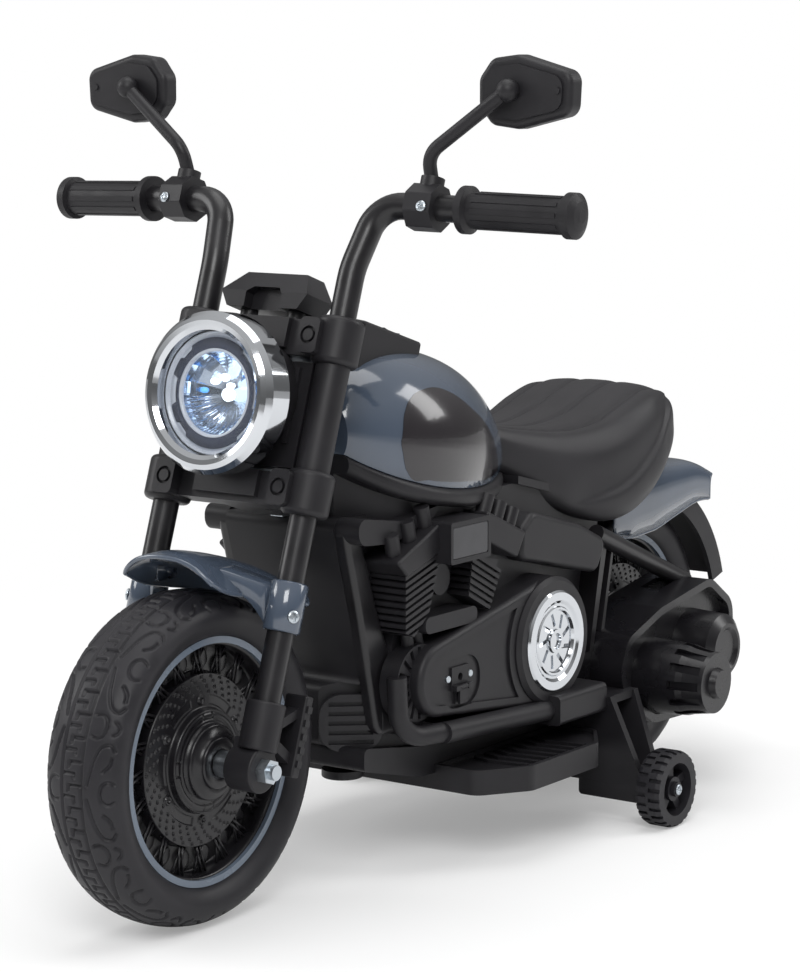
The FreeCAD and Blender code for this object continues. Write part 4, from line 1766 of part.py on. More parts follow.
def charge_socket():
    """Jack with a T-shaped face plate; two lugs carry the flap's pin."""
    floor = PRIMARY_OUT_X - PORT_SINK
    face = floor + SOCKET_PROUD
    jack_z = PORT_Z + SOCKET_JACK_Z
    plate = prism(socket_plate_pairs(), floor, face, 0)
    barrel = rod(SOCKET_BODY_R, (floor - SOCKET_JACK_DEPTH, PORT_Y, jack_z), (face, PORT_Y, jack_z))
    pin_x = face + FLAP_KNUCKLE_R + LAY_GAP
    pin_z = PORT_Z + FLAP_PIN_Z
    lug = block((floor, PORT_Y + FLAP_HALF_Y + LAY_GAP, pin_z - FLAP_KNUCKLE_R),
                (pin_x + FLAP_KNUCKLE_R, PORT_Y + SOCKET_HALF_Y - LAY_GAP, pin_z + FLAP_KNUCKLE_R))
    other = block((floor, PORT_Y - SOCKET_HALF_Y + LAY_GAP, pin_z - FLAP_KNUCKLE_R),
                  (pin_x + FLAP_KNUCKLE_R, PORT_Y - FLAP_HALF_Y - LAY_GAP, pin_z + FLAP_KNUCKLE_R))
    whole = fused([plate, barrel, lug, other])
    pin = rod(FLAP_PIN_R, (pin_x, PORT_Y - SOCKET_HALF_Y, pin_z), (pin_x, PORT_Y + SOCKET_HALF_Y, pin_z))
    whole = fused([whole, pin])
    hole = rod(SOCKET_JACK_R, (face - SOCKET_JACK_DEPTH, PORT_Y, jack_z), (face + OVERRUN, PORT_Y, jack_z))
    return whole.cut(hole)


def charge_flap():
    """Cover that hangs below the jack from its pin and swings up over it."""
    face = PRIMARY_OUT_X - PORT_SINK + SOCKET_PROUD
    pin_x = face + FLAP_KNUCKLE_R + LAY_GAP
    pin_z = PORT_Z + FLAP_PIN_Z
    knuckle = rod(FLAP_KNUCKLE_R, (pin_x, PORT_Y - FLAP_HALF_Y, pin_z), (pin_x, PORT_Y + FLAP_HALF_Y, pin_z))
    leaf = block((pin_x - FLAP_T / 2, PORT_Y - FLAP_HALF_Y, pin_z - FLAP_L),
                 (pin_x + FLAP_T / 2, PORT_Y + FLAP_HALF_Y, pin_z))
    bore = rod(FLAP_PIN_R + RUN_GAP, (pin_x, PORT_Y - SOCKET_HALF_Y, pin_z),
               (pin_x, PORT_Y + SOCKET_HALF_Y, pin_z))
    return fused([knuckle, leaf]).cut(bore)


def body_screws():
    floor = PRIMARY_OUT_X - PORT_SINK
    heads = []
    for side in (-1, 1):
        head = rod(SCREW_R, (floor, PORT_Y + side * PORT_SCREW_Y, PORT_Z + SOCKET_JACK_Z),
                   (floor + SCREW_H, PORT_Y + side * PORT_SCREW_Y, PORT_Z + SOCKET_JACK_Z))
        heads.append(rounded(head, SCREW_H / 2, on_plane("x", floor + SCREW_H)))
    return Part.makeCompound(heads)


def timing_cover():
    """Round cover in front of the primary, slotted like a fan."""
    body = rod(TIMING_R, (CASE_OUT_X - TIMING_SLOT_DEPTH / 2, TIMING_Y, TIMING_Z),
               (TIMING_OUT_X, TIMING_Y, TIMING_Z))
    slot = block((TIMING_OUT_X - TIMING_SLOT_DEPTH, TIMING_Y - TIMING_SLOT_W / 2, TIMING_Z + TIMING_EYE_R),
                 (TIMING_OUT_X + OVERRUN, TIMING_Y + TIMING_SLOT_W / 2,
                  TIMING_Z + TIMING_R - TIMING_SLOT_W / 2))
    slots = turned_copies(slot, TIMING_RIB_COUNT, V(0, TIMING_Y, TIMING_Z), AXIS_X)
    return body.cut(Part.makeCompound(slots))


def exhaust():
    """Elbow in front of the case and the pipe above the foot board, with its muffler."""
    elbow = tube([(ELBOW_X, ELBOW_TOP_Y, ELBOW_TOP_Z), (ELBOW_X, ELBOW_BEND_Y, PIPE_FRONT_Z),
                  (PIPE_X, PIPE_FRONT_Y + PIPE_R, PIPE_FRONT_Z)],
                 ELBOW_R, ELBOW_BEND_R)
    pipe = rod(PIPE_R, (PIPE_X, PIPE_FRONT_Y, PIPE_FRONT_Z), (PIPE_X, PIPE_REAR_Y, PIPE_Z))
    bridge = prism([(PIPE_FRONT_Y + PIPE_R, PIPE_FRONT_Z - PIPE_R / 2), (PIPE_REAR_Y, PIPE_Z - PIPE_R / 2),
                    (PIPE_REAR_Y, PIPE_Z + PIPE_R / 2), (PIPE_FRONT_Y + PIPE_R, PIPE_FRONT_Z + PIPE_R / 2)],
                   CORE_HALF_X, PIPE_X, 0)
    m = MUFFLER_HALF_X
    muffler = prism([(PIPE_X - m * 2, PIPE_Z - MUFFLER_HALF_Z), (PIPE_X + m, PIPE_Z - MUFFLER_HALF_Z),
                     (PIPE_X + m, PIPE_Z + MUFFLER_HALF_Z), (PIPE_X - m * 2, PIPE_Z + MUFFLER_HALF_Z)],
                    PIPE_REAR_Y, MUFFLER_REAR_Y, MUFFLER_R, "y")
    foot = block((CORE_HALF_X, PIPE_REAR_Y, PIPE_Z - MUFFLER_HALF_Z / 2),
                 (PIPE_X, MUFFLER_REAR_Y, PIPE_Z + MUFFLER_HALF_Z / 2))
    return [elbow, pipe, bridge, muffler, foot]


def engine_cover(primary):
    """Crankcase with two finned cylinders, push rods, air cleaner and exhaust."""
    case = prism(spread(CASE_SHARES, (CASE_FRONT_Y, CASE_LOW_Z), (CASE_REAR_Y, CASE_HIGH_Z)), CORE_HALF_X,
                 CASE_OUT_X, CASE_CORNER_R)
    front = cylinder(FRONT_HEAD_SHARES, FRONT_BARREL_SHARES, (FRONT_CYL_FRONT_Y, FRONT_CYL_LOW_Z),
                     (FRONT_CYL_REAR_Y, FRONT_CYL_HIGH_Z), FRONT_CYL_LEAN_DEG)
    rear = cylinder(REAR_HEAD_SHARES, REAR_BARREL_SHARES, (REAR_CYL_FRONT_Y, REAR_CYL_LOW_Z),
                    (REAR_CYL_REAR_Y, REAR_CYL_HIGH_Z), REAR_CYL_LEAN_DEG)
    rods = []
    for shift in (0, PUSHROD_SPREAD):
        rods.append(rod(PUSHROD_R, (PUSHROD_X, PUSHROD_FOOT_Y + shift, PUSHROD_FOOT_Z),
                        (PUSHROD_X, PUSHROD_TOP_Y + shift, PUSHROD_TOP_Z)))
    intake = rod(INTAKE_R, (CORE_HALF_X, INTAKE_Y, INTAKE_Z), (INTAKE_X, INTAKE_Y, INTAKE_Z))
    r = CAPSULE_R
    capsule = prism([(CAPSULE_FRONT_Y, CAPSULE_Z - r), (CAPSULE_REAR_Y, CAPSULE_Z - r),
                     (CAPSULE_REAR_Y, CAPSULE_Z + r),
                     (CAPSULE_FRONT_Y, CAPSULE_Z + r)], CORE_HALF_X, CAPSULE_OUT_X, r)
    whole = fused([case, air_cleaner(), engine_band(), intake, capsule,
                   timing_cover()] + front + rear + exhaust() + rods)
    return cut(whole, [primary, chrome_disc()])


def side_box():
    body = prism(spread(BOX_SHARES, (BOX_FRONT_Y, BOX_LOW_Z), (BOX_REAR_Y, BOX_HIGH_Z)), CORE_HALF_X,
                 BOX_OUT_X, BOX_CORNER_R)
    return rounded(body, BOX_EDGE_R, on_plane("x", BOX_OUT_X))


def down_tube(core, covers):
    """Moulded side member from below the tank down the front of the body, broader at its foot."""
    pairs = spread(DOWN_SHARES, (DOWN_FRONT_Y, DOWN_LOW_Z), (DOWN_REAR_Y, DOWN_HIGH_Z))
    down = rounded(prism(pairs, CORE_HALF_X, DOWN_OUT_X, DOWN_CORNER_R), DOWN_EDGE_R,
                   on_plane("x", DOWN_OUT_X))
    return cut(down, [core, covers])


# Footboard, training arms and pedal

def board_plan(grow):
    """Plan of the two foot boards and the tray between them."""
    left = [(BOARD_OUT_X - BOARD_CHAMFER_X + grow, BOARD_FRONT_Y - grow),
            (BOARD_OUT_X + grow, BOARD_FRONT_Y + BOARD_CHAMFER_Y),
            (BOARD_OUT_X + grow, BOARD_REAR_Y - BOARD_CHAMFER_Y),
            (BOARD_OUT_X - BOARD_CHAMFER_X, BOARD_REAR_Y + grow)]
    return left + [(-x, y) for x, y in reversed(left)]


def footboard():
    """Belly tray with a foot board on each side: rim, wavy grooves and a hollow underside."""
    low = BOARD_TOP_Z - BOARD_T
    tray = prism(board_plan(0), low, BOARD_TOP_Z, BOARD_CORNER_R, "z")
    sunk = prism(board_plan(-BOARD_RIM_W), BOARD_TOP_Z - BOARD_RIM_H, BOARD_TOP_Z + OVERRUN,
                 BOARD_CORNER_R - BOARD_RIM_W, "z")
    inner = BOARD_SKIRT_X
    sides = []
    for side in (-1, 1):
        corner = sorted((side * inner, side * (BOARD_OUT_X + OVERRUN)))
        sides.append(sunk.common(block((corner[0], BOARD_FRONT_Y, low),
                                       (corner[1], BOARD_REAR_Y, BOARD_TOP_Z + OVERRUN))))
    hollow = prism(board_plan(-BOARD_HOLLOW_T), low - OVERRUN, BOARD_TOP_Z - BOARD_RIM_H - BOARD_HOLLOW_T,
                   BOARD_CORNER_R - BOARD_HOLLOW_T, "z")
    tray = cut(tray, sides + [hollow])
    width = BOARD_OUT_X - inner - BOARD_RIDGE_INSET
    run = BOARD_REAR_Y - BOARD_FRONT_Y - 2 * BOARD_CHAMFER_Y
    step = run / BOARD_GROOVE_COUNT
    ridges = []
    floor = BOARD_TOP_Z - BOARD_RIM_H
    for i in range(BOARD_GROOVE_COUNT):
        y = BOARD_FRONT_Y + BOARD_CHAMFER_Y + step * i + step / 2
        start = inner + BOARD_RIM_W
        ridges.append(prism([(start, y - BOARD_GROOVE_W / 2),
                             (start + width * BOARD_GROOVE_SHARE,
                              y - BOARD_GROOVE_W / 2 - step * BOARD_GROOVE_SHARE),
                             (start + width, y - BOARD_GROOVE_W / 2),
                             (start + width, y + BOARD_GROOVE_W / 2),
                             (start + width * BOARD_GROOVE_SHARE,
                              y + BOARD_GROOVE_W / 2 - step * BOARD_GROOVE_SHARE),
                             (start, y + BOARD_GROOVE_W / 2)],
                            floor, BOARD_TOP_Z - BOARD_RIDGE_DROP, 0, "z"))
    lugs, bores = pedal_lugs()
    sump_low = PAN_LOW_Z - SUMP_H
    sump = rounded(rod(SUMP_R, (0, SUMP_Y, sump_low), (0, SUMP_Y, PAN_LOW_Z + SUMP_H)), SUMP_H / 2,
                   on_plane("z", sump_low))
    pan = prism([(PAN_FRONT_Y, PAN_FRONT_LOW_Z), (PAN_FRONT_Y, PAN_FRONT_HIGH_Z), (PAN_BEND_Y, PAN_HIGH_Z),
                 (PAN_REAR_Y, PAN_HIGH_Z),
                 (PAN_REAR_Y, PAN_LOW_Z), (PAN_BEND_Y, PAN_LOW_Z)], -PAN_HALF_X, PAN_HALF_X, PAN_CORNER_R)
    tray = fused([tray, pan, sump] + ridges + lugs)
    return cut(tray, bores)


def pedal_lugs():
    """Two ears beside the pedal's barrel, with their bores."""
    floor = BOARD_TOP_Z - BOARD_RIM_H
    lugs, bores = [], []
    for side in (-1, 1):
        near = PEDAL_X + side * (PEDAL_HALF_X + PEDAL_LUG_GAP)
        far = near + side * PEDAL_LUG_T
        x0, x1 = sorted((near, far))
        ear = prism([(PEDAL_PIN_Y - PEDAL_BARREL_R, floor - BOARD_HOLLOW_T / 2),
                     (PEDAL_PIN_Y + PEDAL_BARREL_R, floor - BOARD_HOLLOW_T / 2),
                     (PEDAL_PIN_Y + PEDAL_BARREL_R, PEDAL_PIN_Z + PEDAL_BARREL_R),
                     (PEDAL_PIN_Y - PEDAL_BARREL_R, PEDAL_PIN_Z + PEDAL_BARREL_R)], x0, x1,
                    PEDAL_BARREL_R / 2)
        lugs.append(ear)
        bores.append(rod(PEDAL_PIN_R + RUN_GAP, (x0 - OVERRUN, PEDAL_PIN_Y, PEDAL_PIN_Z),
                         (x1 + OVERRUN, PEDAL_PIN_Y, PEDAL_PIN_Z)))
    return lugs, bores


def foot_pedal():
    """Ribbed pedal hinged at the heel and held up by its spring."""
    low, high = PEDAL_X - PEDAL_HALF_X, PEDAL_X + PEDAL_HALF_X
    plate = prism([(low, PEDAL_FRONT_Y), (high, PEDAL_FRONT_Y), (high, PEDAL_PIN_Y), (low, PEDAL_PIN_Y)],
                  PEDAL_PIN_Z - PEDAL_T / 2, PEDAL_PIN_Z + PEDAL_T / 2, 0, "z")
    barrel = rod(PEDAL_BARREL_R, (low, PEDAL_PIN_Y, PEDAL_PIN_Z), (high, PEDAL_PIN_Y, PEDAL_PIN_Z))
    end = PEDAL_HALF_X + PEDAL_LUG_GAP + PEDAL_LUG_T
    pin = rod(PEDAL_PIN_R, (PEDAL_X - end, PEDAL_PIN_Y, PEDAL_PIN_Z),
              (PEDAL_X + end, PEDAL_PIN_Y, PEDAL_PIN_Z))
    length = PEDAL_PIN_Y - PEDAL_BARREL_R - PEDAL_FRONT_Y
    step = length / PEDAL_RIB_COUNT
    ribs = []
    for i in range(PEDAL_RIB_COUNT):
        y = PEDAL_FRONT_Y + step * (i + (1 - PEDAL_RIB_SHARE) / 2)
        ribs.append(block((low + PEDAL_RIB_H, y, PEDAL_PIN_Z),
                          (high - PEDAL_RIB_H, y + step * PEDAL_RIB_SHARE,
                           PEDAL_PIN_Z + PEDAL_T / 2 + PEDAL_RIB_H)))
    whole = fused([plate, barrel, pin] + ribs)
    whole.rotate(V(PEDAL_X, PEDAL_PIN_Y, PEDAL_PIN_Z), AXIS_X, -PEDAL_RISE_DEG)
    return whole


def training_arm():
    """Block on the axle line with two legs that spread up to the body, and the wheel's pin."""
    y = TRAIN_Y
    block_low = prism([(TRAIN_BLOCK_IN_X, TRAIN_BLOCK_LOW), (TRAIN_BLOCK_OUT_X, TRAIN_BLOCK_LOW),
                       (TRAIN_BLOCK_OUT_X, TRAIN_BLOCK_HIGH), (TRAIN_BLOCK_IN_X, TRAIN_BLOCK_HIGH)],
                      y - TRAIN_BLOCK_HALF_Y, y + TRAIN_BLOCK_HALF_Y, TRAIN_LEG_T / 2, "y")
    legs = []
    for side in (-1, 1):
        top_y = y + side * TRAIN_LEG_SPREAD
        low_y = y + side * (TRAIN_BLOCK_HALF_Y - TRAIN_LEG_T / 2)
        leg = prism([(low_y - TRAIN_LEG_T / 2, TRAIN_R), (low_y + TRAIN_LEG_T / 2, TRAIN_R),
                     (top_y + TRAIN_LEG_T / 2, TRAIN_LEG_TOP_Z), (top_y - TRAIN_LEG_T / 2, TRAIN_LEG_TOP_Z)],
                    TRAIN_LEG_TOP_IN_X, TRAIN_BLOCK_OUT_X, 0)
        legs.append(leg)
    far = TRAIN_BLOCK_OUT_X + OVERRUN
    trim = prism([(TRAIN_LEG_TOP_OUT_X, TRAIN_LEG_TOP_Z + OVERRUN), (TRAIN_BLOCK_OUT_X, TRAIN_BLOCK_HIGH),
                  (far, TRAIN_BLOCK_HIGH), (far, TRAIN_LEG_TOP_Z + OVERRUN)],
                 y - TRAIN_LEG_SPREAD * 2, y + TRAIN_LEG_SPREAD * 2, 0, "y")
    head = block((TRAIN_LEG_TOP_IN_X, y - TRAIN_LEG_SPREAD - TRAIN_LEG_T / 2, TRAIN_LEG_TOP_Z - TRAIN_LEG_T),
                 (TRAIN_LEG_TOP_OUT_X, y + TRAIN_LEG_SPREAD + TRAIN_LEG_T / 2, TRAIN_LEG_TOP_Z))
    web = prism([(y - TRAIN_LEG_SPREAD, TRAIN_LEG_TOP_Z), (y + TRAIN_LEG_SPREAD, TRAIN_LEG_TOP_Z),
                 (y + TRAIN_BLOCK_HALF_Y - TRAIN_LEG_T / 2, TRAIN_R),
                 (y - TRAIN_BLOCK_HALF_Y + TRAIN_LEG_T / 2, TRAIN_R)],
                TRAIN_LEG_TOP_IN_X, TRAIN_LEG_TOP_IN_X + TRAIN_LEG_T, 0)
    axle = rod(TRAIN_AXLE_R, (TRAIN_BLOCK_IN_X + TRAIN_LEG_T, y, TRAIN_R),
               (TRAIN_OUT_X - TRAIN_TREAD_W + LAY_GAP, y, TRAIN_R))
    washer = rod(TRAIN_WASHER_R, (TRAIN_BLOCK_OUT_X - TRAIN_LEG_T, y, TRAIN_R),
                 (TRAIN_IN_X - LAY_GAP, y, TRAIN_R))
    bolt = rod(TRAIN_HEAD_R, (TRAIN_OUT_X - TRAIN_TREAD_W + LAY_GAP, y, TRAIN_R),
               (TRAIN_OUT_X - TRAIN_TREAD_W + LAY_GAP + TRAIN_HEAD_H, y, TRAIN_R))
    return fused([block_low, head, web, axle, washer, bolt] + [leg.cut(trim) for leg in legs])


# Inside

def battery():
    low = CORE_FLOOR_Z + WALL
    front = BATTERY_Y - BATTERY_L / 2
    case = block((-BATTERY_HALF_X, front, low), (BATTERY_HALF_X, front + BATTERY_L, low + BATTERY_H))
    tabs = []
    for side in (-1, 1):
        x = side * BATTERY_HALF_X / 2
        tabs.append(block((x - TERMINAL_HALF_X, BATTERY_Y - TERMINAL_HALF_Y, low + BATTERY_H),
                          (x + TERMINAL_HALF_X, BATTERY_Y + TERMINAL_HALF_Y, low + BATTERY_H + TERMINAL_H)))
    return fused([case] + tabs)


def control_board():
    face = CORE_INNER_X
    plate = block((face - BOARD_PLATE_T, BOARD_Y - BOARD_L / 2, BOARD_Z - BOARD_H / 2),
                  (face, BOARD_Y + BOARD_L / 2, BOARD_Z + BOARD_H / 2))
    relay = block((face - BOARD_PLATE_T - RELAY_T, BOARD_Y - RELAY_L, BOARD_Z - RELAY_L / 2),
                  (face - BOARD_PLATE_T, BOARD_Y, BOARD_Z + RELAY_L / 2))
    return fused([plate, relay])


def rear_axle():
    return axle_bore(REAR_AXLE_R, -REAR_AXLE_HALF, REAR_AXLE_HALF)


def build():
    core = core_solid(0, CORE_HALF_X)
    tank = fuel_tank()
    shell_left, shell_right = body_shells()
    primary_left = primary_cover(True)
    primary_right = primary_cover(False)
    engine = engine_cover(primary_right)
    box = side_box().cut(engine).cut(primary_right)
    base = tank_base().cut(core)
    arm_left, arm_right = swingarm_left(), swingarm_right()
    plate = seat_base()
    whole_arm = arm_prism(ARM_IN_X, ARM_LIP_X, 0).fuse(arm_lug())
    stay = rear_stay(whole_arm.fuse(box), plate)
    tray = cut(footboard(), [core, nose_panel(), mirrored(nose_panel())])
    engine_left = cut(engine, [base, box, tray]).copy()
    down = down_tube(core.fuse(nose_panel()), fused([engine, primary_right, base, tray]))
    arm = cut(training_arm(), [tray, core, engine, whole_arm])
    head = head_tube()
    clamp_low, clamp_high = lower_clamp(), upper_clamp()
    fender = rear_fender()
    front = FRONT_AXLE_Y
    return {
        "body_shell_left": shell_left,
        "body_shell_right": shell_right,
        "engine_cover_left": engine_left,
        "engine_cover_right": mirrored(engine_left),
        "primary_cover_left": primary_left,
        "primary_cover_right": mirrored(primary_right),
        "chrome_discs": pair(chrome_disc()),
        "side_boxes": pair(box.cut(base)),
        "fuel_tank": tank,
        "tank_base": base.cut(head),
        "dash_panel": dash_panel(tank),
        "seat_base": cut(plate, [base, tank, core]),
        "seat": cut(seat(), [base, tank]),
        "rear_fender": fender.cut(plate),
        "rear_mudguard": mudguard([arm_left, arm_right, fender]),
        "swingarm_left": arm_left,
        "swingarm_right": arm_right,
        "motor_cover": motor_cover(),
        "axle_caps": pair(axle_cap()),
        "footboard": tray,
        "training_arms": pair(arm),
        "battery": battery(),
        "drive_motor": drive_motor(),
        "control_board": control_board(),
        "charge_socket": charge_socket(),
        "frame_tubes": Part.makeCompound([pair(down), pair(stay)]),
        "head_tube": head,
        "rear_axle": rear_axle(),
        "body_screws": body_screws(),
        "charge_flap": charge_flap(),
        "power_switch": rocker(1),
        "direction_switch": rocker(-1),
        "horn_button": horn_button(),
        "foot_pedal": foot_pedal(),
        "motor_pinion": motor_pinion(),
        "lower_clamp": clamp_low,
        "upper_clamp": clamp_high,
        "fork_tubes": fork_tubes(),
        "handlebars": handlebars(),
        "headlight_housing": cut(headlight_housing(), [clamp_low, clamp_high]),
        "headlight_ring": headlight_ring(),
        "headlight_reflector": headlight_reflector(),
        "headlight_lens": headlight_lens(),
        "instrument_block": instrument_block(),
        "grips": grips(),
        "mirror_stems": mirror_stems(),
        "fork_ends": fork_ends(),
        "front_fender": front_fender(),
        "front_axle": front_axle(),
        "front_tyre": tyre(front),
        "front_rim": rim_hoop(front),
        "front_wheel_centre": wheel_centre(front, AXLE_R + RUN_GAP),
        "rear_tyre": tyre(REAR_AXLE_Y),
        "rear_rim": rim_hoop(REAR_AXLE_Y),
        "rear_wheel_centre": wheel_centre(REAR_AXLE_Y, REAR_AXLE_R + RUN_GAP),
        "drive_gear": drive_gear(),
        "training_wheel_left": training_wheel(),
        "training_wheel_right": mirrored(training_wheel()),
        "mirror_left": mirror_head(),
        "mirror_right": mirrored(mirror_head()),
    }


def main():
    os.makedirs("parts", exist_ok=True)
    for name, shape in build().items():
        shape.translate(V(0, CENTRE_Y, 0))
        print(name, "solids", len(shape.Solids), "valid", shape.isValid(), "volume", round(shape.Volume))
        shape.exportStep(os.path.join("parts", name + ".step"))


main()
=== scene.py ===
import itertools
import json
import math

import bpy
import bmesh
import numpy as np
from mathutils import Matrix, Vector
from mathutils.bvhtree import BVHTree


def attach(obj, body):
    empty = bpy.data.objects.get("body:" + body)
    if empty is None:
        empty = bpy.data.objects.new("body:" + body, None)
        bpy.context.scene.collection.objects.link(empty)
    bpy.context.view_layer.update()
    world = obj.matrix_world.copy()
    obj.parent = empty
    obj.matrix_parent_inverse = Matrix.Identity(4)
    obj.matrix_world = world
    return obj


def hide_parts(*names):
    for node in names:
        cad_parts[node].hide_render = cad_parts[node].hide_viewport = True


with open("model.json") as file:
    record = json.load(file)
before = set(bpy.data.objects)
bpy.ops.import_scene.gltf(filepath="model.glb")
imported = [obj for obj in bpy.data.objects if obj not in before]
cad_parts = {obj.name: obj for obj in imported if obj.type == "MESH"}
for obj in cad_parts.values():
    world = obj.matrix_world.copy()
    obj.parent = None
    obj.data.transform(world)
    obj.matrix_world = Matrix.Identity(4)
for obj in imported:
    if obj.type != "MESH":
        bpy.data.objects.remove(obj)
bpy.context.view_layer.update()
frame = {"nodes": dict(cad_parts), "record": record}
nodes = frame["nodes"]
mm = 0.001  # every size below is written in millimetres
hands = ((1, "Left"), (-1, "Right"))
print("frame loaded:", len(nodes), "nodes")


# sRGB hex to the linear colour that a shader takes
def srgb(code, alpha=1.0):
    parts = [int(code[i:i + 2], 16) / 255 for i in (1, 3, 5)]
    return [p / 12.92 if p <= 0.04045 else ((p + 0.055) / 1.055) ** 2.4 for p in parts] + [alpha]


def addNode(tree, kind, settings=None, inputs=None):
    new = tree.nodes.new(kind)
    for key, value in (settings or {}).items():
        setattr(new, key, value)
    for key, value in (inputs or {}).items():
        if isinstance(value, bpy.types.NodeSocket):
            tree.links.new(value, new.inputs[key])
        else:
            new.inputs[key].default_value = value
    return new


def newMaterial(name, shader):
    mat = bpy.data.materials.new(name)
    mat.use_nodes = True
    tree = mat.node_tree
    tree.nodes.clear()
    bsdf = addNode(tree, "ShaderNodeBsdfPrincipled", inputs=shader)
    addNode(tree, "ShaderNodeOutputMaterial", inputs={"Surface": bsdf.outputs["BSDF"]})
    place = addNode(tree, "ShaderNodeTexCoord").outputs["Object"]
    return mat, tree, bsdf, place


# values that most plastics share; a material's own values come before them
plastic = {"ior": 1.49, "shine": 0.5, "coat": 0.0, "coatRough": 0.1, "ramp": (0.32, 0.70),
           "drift": (0.3, 0.7), "cloudDetail": 3.0, "grainDetail": 2.0, "grainHeight": 0.4}
metal = {"smearDetail": 4.0, "scratchHeight": 0.1}


# a moulded plastic: cloudy colour from the pigment, a grain left by the etched mould, roughness that drifts
def mouldedPlastic(name, own):
    spec = {**plastic, **own}
    mat, tree, bsdf, place = newMaterial(name, {
        "IOR": spec["ior"], "Specular IOR Level": spec["shine"],
        "Coat Weight": spec["coat"], "Coat Roughness": spec["coatRough"]})
    cloud = addNode(tree, "ShaderNodeTexNoise", inputs={
        "Vector": place, "Scale": 1 / (spec["cloudMm"] * mm), "Detail": spec["cloudDetail"]}).outputs["Fac"]
    tone = addNode(tree, "ShaderNodeValToRGB", inputs={"Fac": cloud})
    for k, colour in enumerate((spec["dark"], spec["light"])):
        tone.color_ramp.elements[k].position = spec["ramp"][k]
        tone.color_ramp.elements[k].color = srgb(colour)
    tree.links.new(tone.outputs["Color"], bsdf.inputs["Base Color"])
    drift = addNode(tree, "ShaderNodeMapRange", inputs={
        "Value": cloud, "From Min": spec["drift"][0], "From Max": spec["drift"][1],
        "To Min": spec["rough"][0], "To Max": spec["rough"][1]})
    tree.links.new(drift.outputs["Result"], bsdf.inputs["Roughness"])
    grain = addNode(tree, "ShaderNodeTexNoise", inputs={
        "Vector": place, "Scale": 1 / (spec["grainMm"] * mm), "Detail": spec["grainDetail"]}).outputs["Fac"]
    bump = addNode(tree, "ShaderNodeBump", inputs={
        "Height": grain, "Strength": spec["grain"], "Distance": spec["grainHeight"] * mm})
    tree.links.new(bump.outputs["Normal"], bsdf.inputs["Normal"])
    return mat


# a plated or drawn metal: fine scratches in the roughness, no colour pattern
def platedMetal(name, spec):
    mat, tree, bsdf, place = newMaterial(name, {"Base Color": srgb(spec["colour"]), "Metallic": 1.0})
    smear = addNode(tree, "ShaderNodeTexNoise", inputs={
        "Vector": place, "Scale": 1 / (spec["smearMm"] * mm), "Detail": metal["smearDetail"]}).outputs["Fac"]
    drift = addNode(tree, "ShaderNodeMapRange", inputs={
        "Value": smear, "To Min": spec["rough"][0], "To Max": spec["rough"][1]})
    tree.links.new(drift.outputs["Result"], bsdf.inputs["Roughness"])
    bump = addNode(tree, "ShaderNodeBump", inputs={
        "Height": smear, "Strength": spec["bump"], "Distance": metal["scratchHeight"] * mm})
    tree.links.new(bump.outputs["Normal"], bsdf.inputs["Normal"])
    return mat


# polypropylene from an etched mould: dull charcoal, a soft sheen on the rounded edges
# (the real grain of 0.2 mm is drawn at 0.9 mm to show)
matteBlackPp = mouldedPlastic("polypropylene moulded matte charcoal", {
    "dark": "#1a191c", "light": "#222124", "shine": 0.34, "cloudMm": 40, "grainMm": 0.9, "grain": 0.10,
    "rough": (0.42, 0.52)})
# the same plastic from a smoother mould, as on the wheel centres and the gear case
satinBlackPp = mouldedPlastic("polypropylene moulded satin black", {
    "dark": "#151417", "light": "#1b1a1d", "shine": 0.42, "cloudMm": 35, "grainMm": 1.1, "grain": 0.05,
    "rough": (0.24, 0.33)})
# blow-moulded polyethylene of the tyres: a little greyer, waxy
tyrePe = mouldedPlastic("polyethylene blow-moulded tyre black", {
    "dark": "#1c1b1f", "light": "#252428", "shine": 0.34, "cloudMm": 22, "grainMm": 1.2, "grain": 0.10,
    "rough": (0.44, 0.56)})
# ABS from a polished mould: slate blue-grey, mirror-like highlights
slateAbs = mouldedPlastic("ABS polished slate grey", {
    "dark": "#414b59", "light": "#485261", "cloudMm": 90, "grainMm": 14, "grain": 0.012,
    "rough": (0.10, 0.16), "ior": 1.53, "coat": 0.5, "coatRough": 0.04})
# the rims are the same ABS with a little more grey
rimAbs = mouldedPlastic("ABS moulded rim grey", {
    "dark": "#5a6573", "light": "#65707e", "cloudMm": 60, "grainMm": 6, "grain": 0.02,
    "rough": (0.22, 0.30), "ior": 1.53})
# powder coat on steel tube: deep black with a faint orange peel of about 2.5 mm
powderCoat = mouldedPlastic("powder-coated steel gloss black", {
    "dark": "#151416", "light": "#1c1b1e", "shine": 0.4, "cloudMm": 30, "grainMm": 2.5, "grain": 0.05,
    "rough": (0.30, 0.40), "coat": 0.12, "coatRough": 0.2})
# thermoplastic rubber of the grips: dull, slightly dusty
gripTpr = mouldedPlastic("thermoplastic rubber moulded grip", {
    "dark": "#171619", "light": "#1f1e21", "shine": 0.36, "cloudMm": 16, "grainMm": 1.0, "grain": 0.14,
    "rough": (0.48, 0.60)})
# soft grained vinyl of the saddle
seatVinyl = mouldedPlastic("vinyl moulded saddle skin", {
    "dark": "#212023", "light": "#29282b", "shine": 0.34, "cloudMm": 45, "grainMm": 1.3, "grain": 0.16,
    "rough": (0.44, 0.54)})
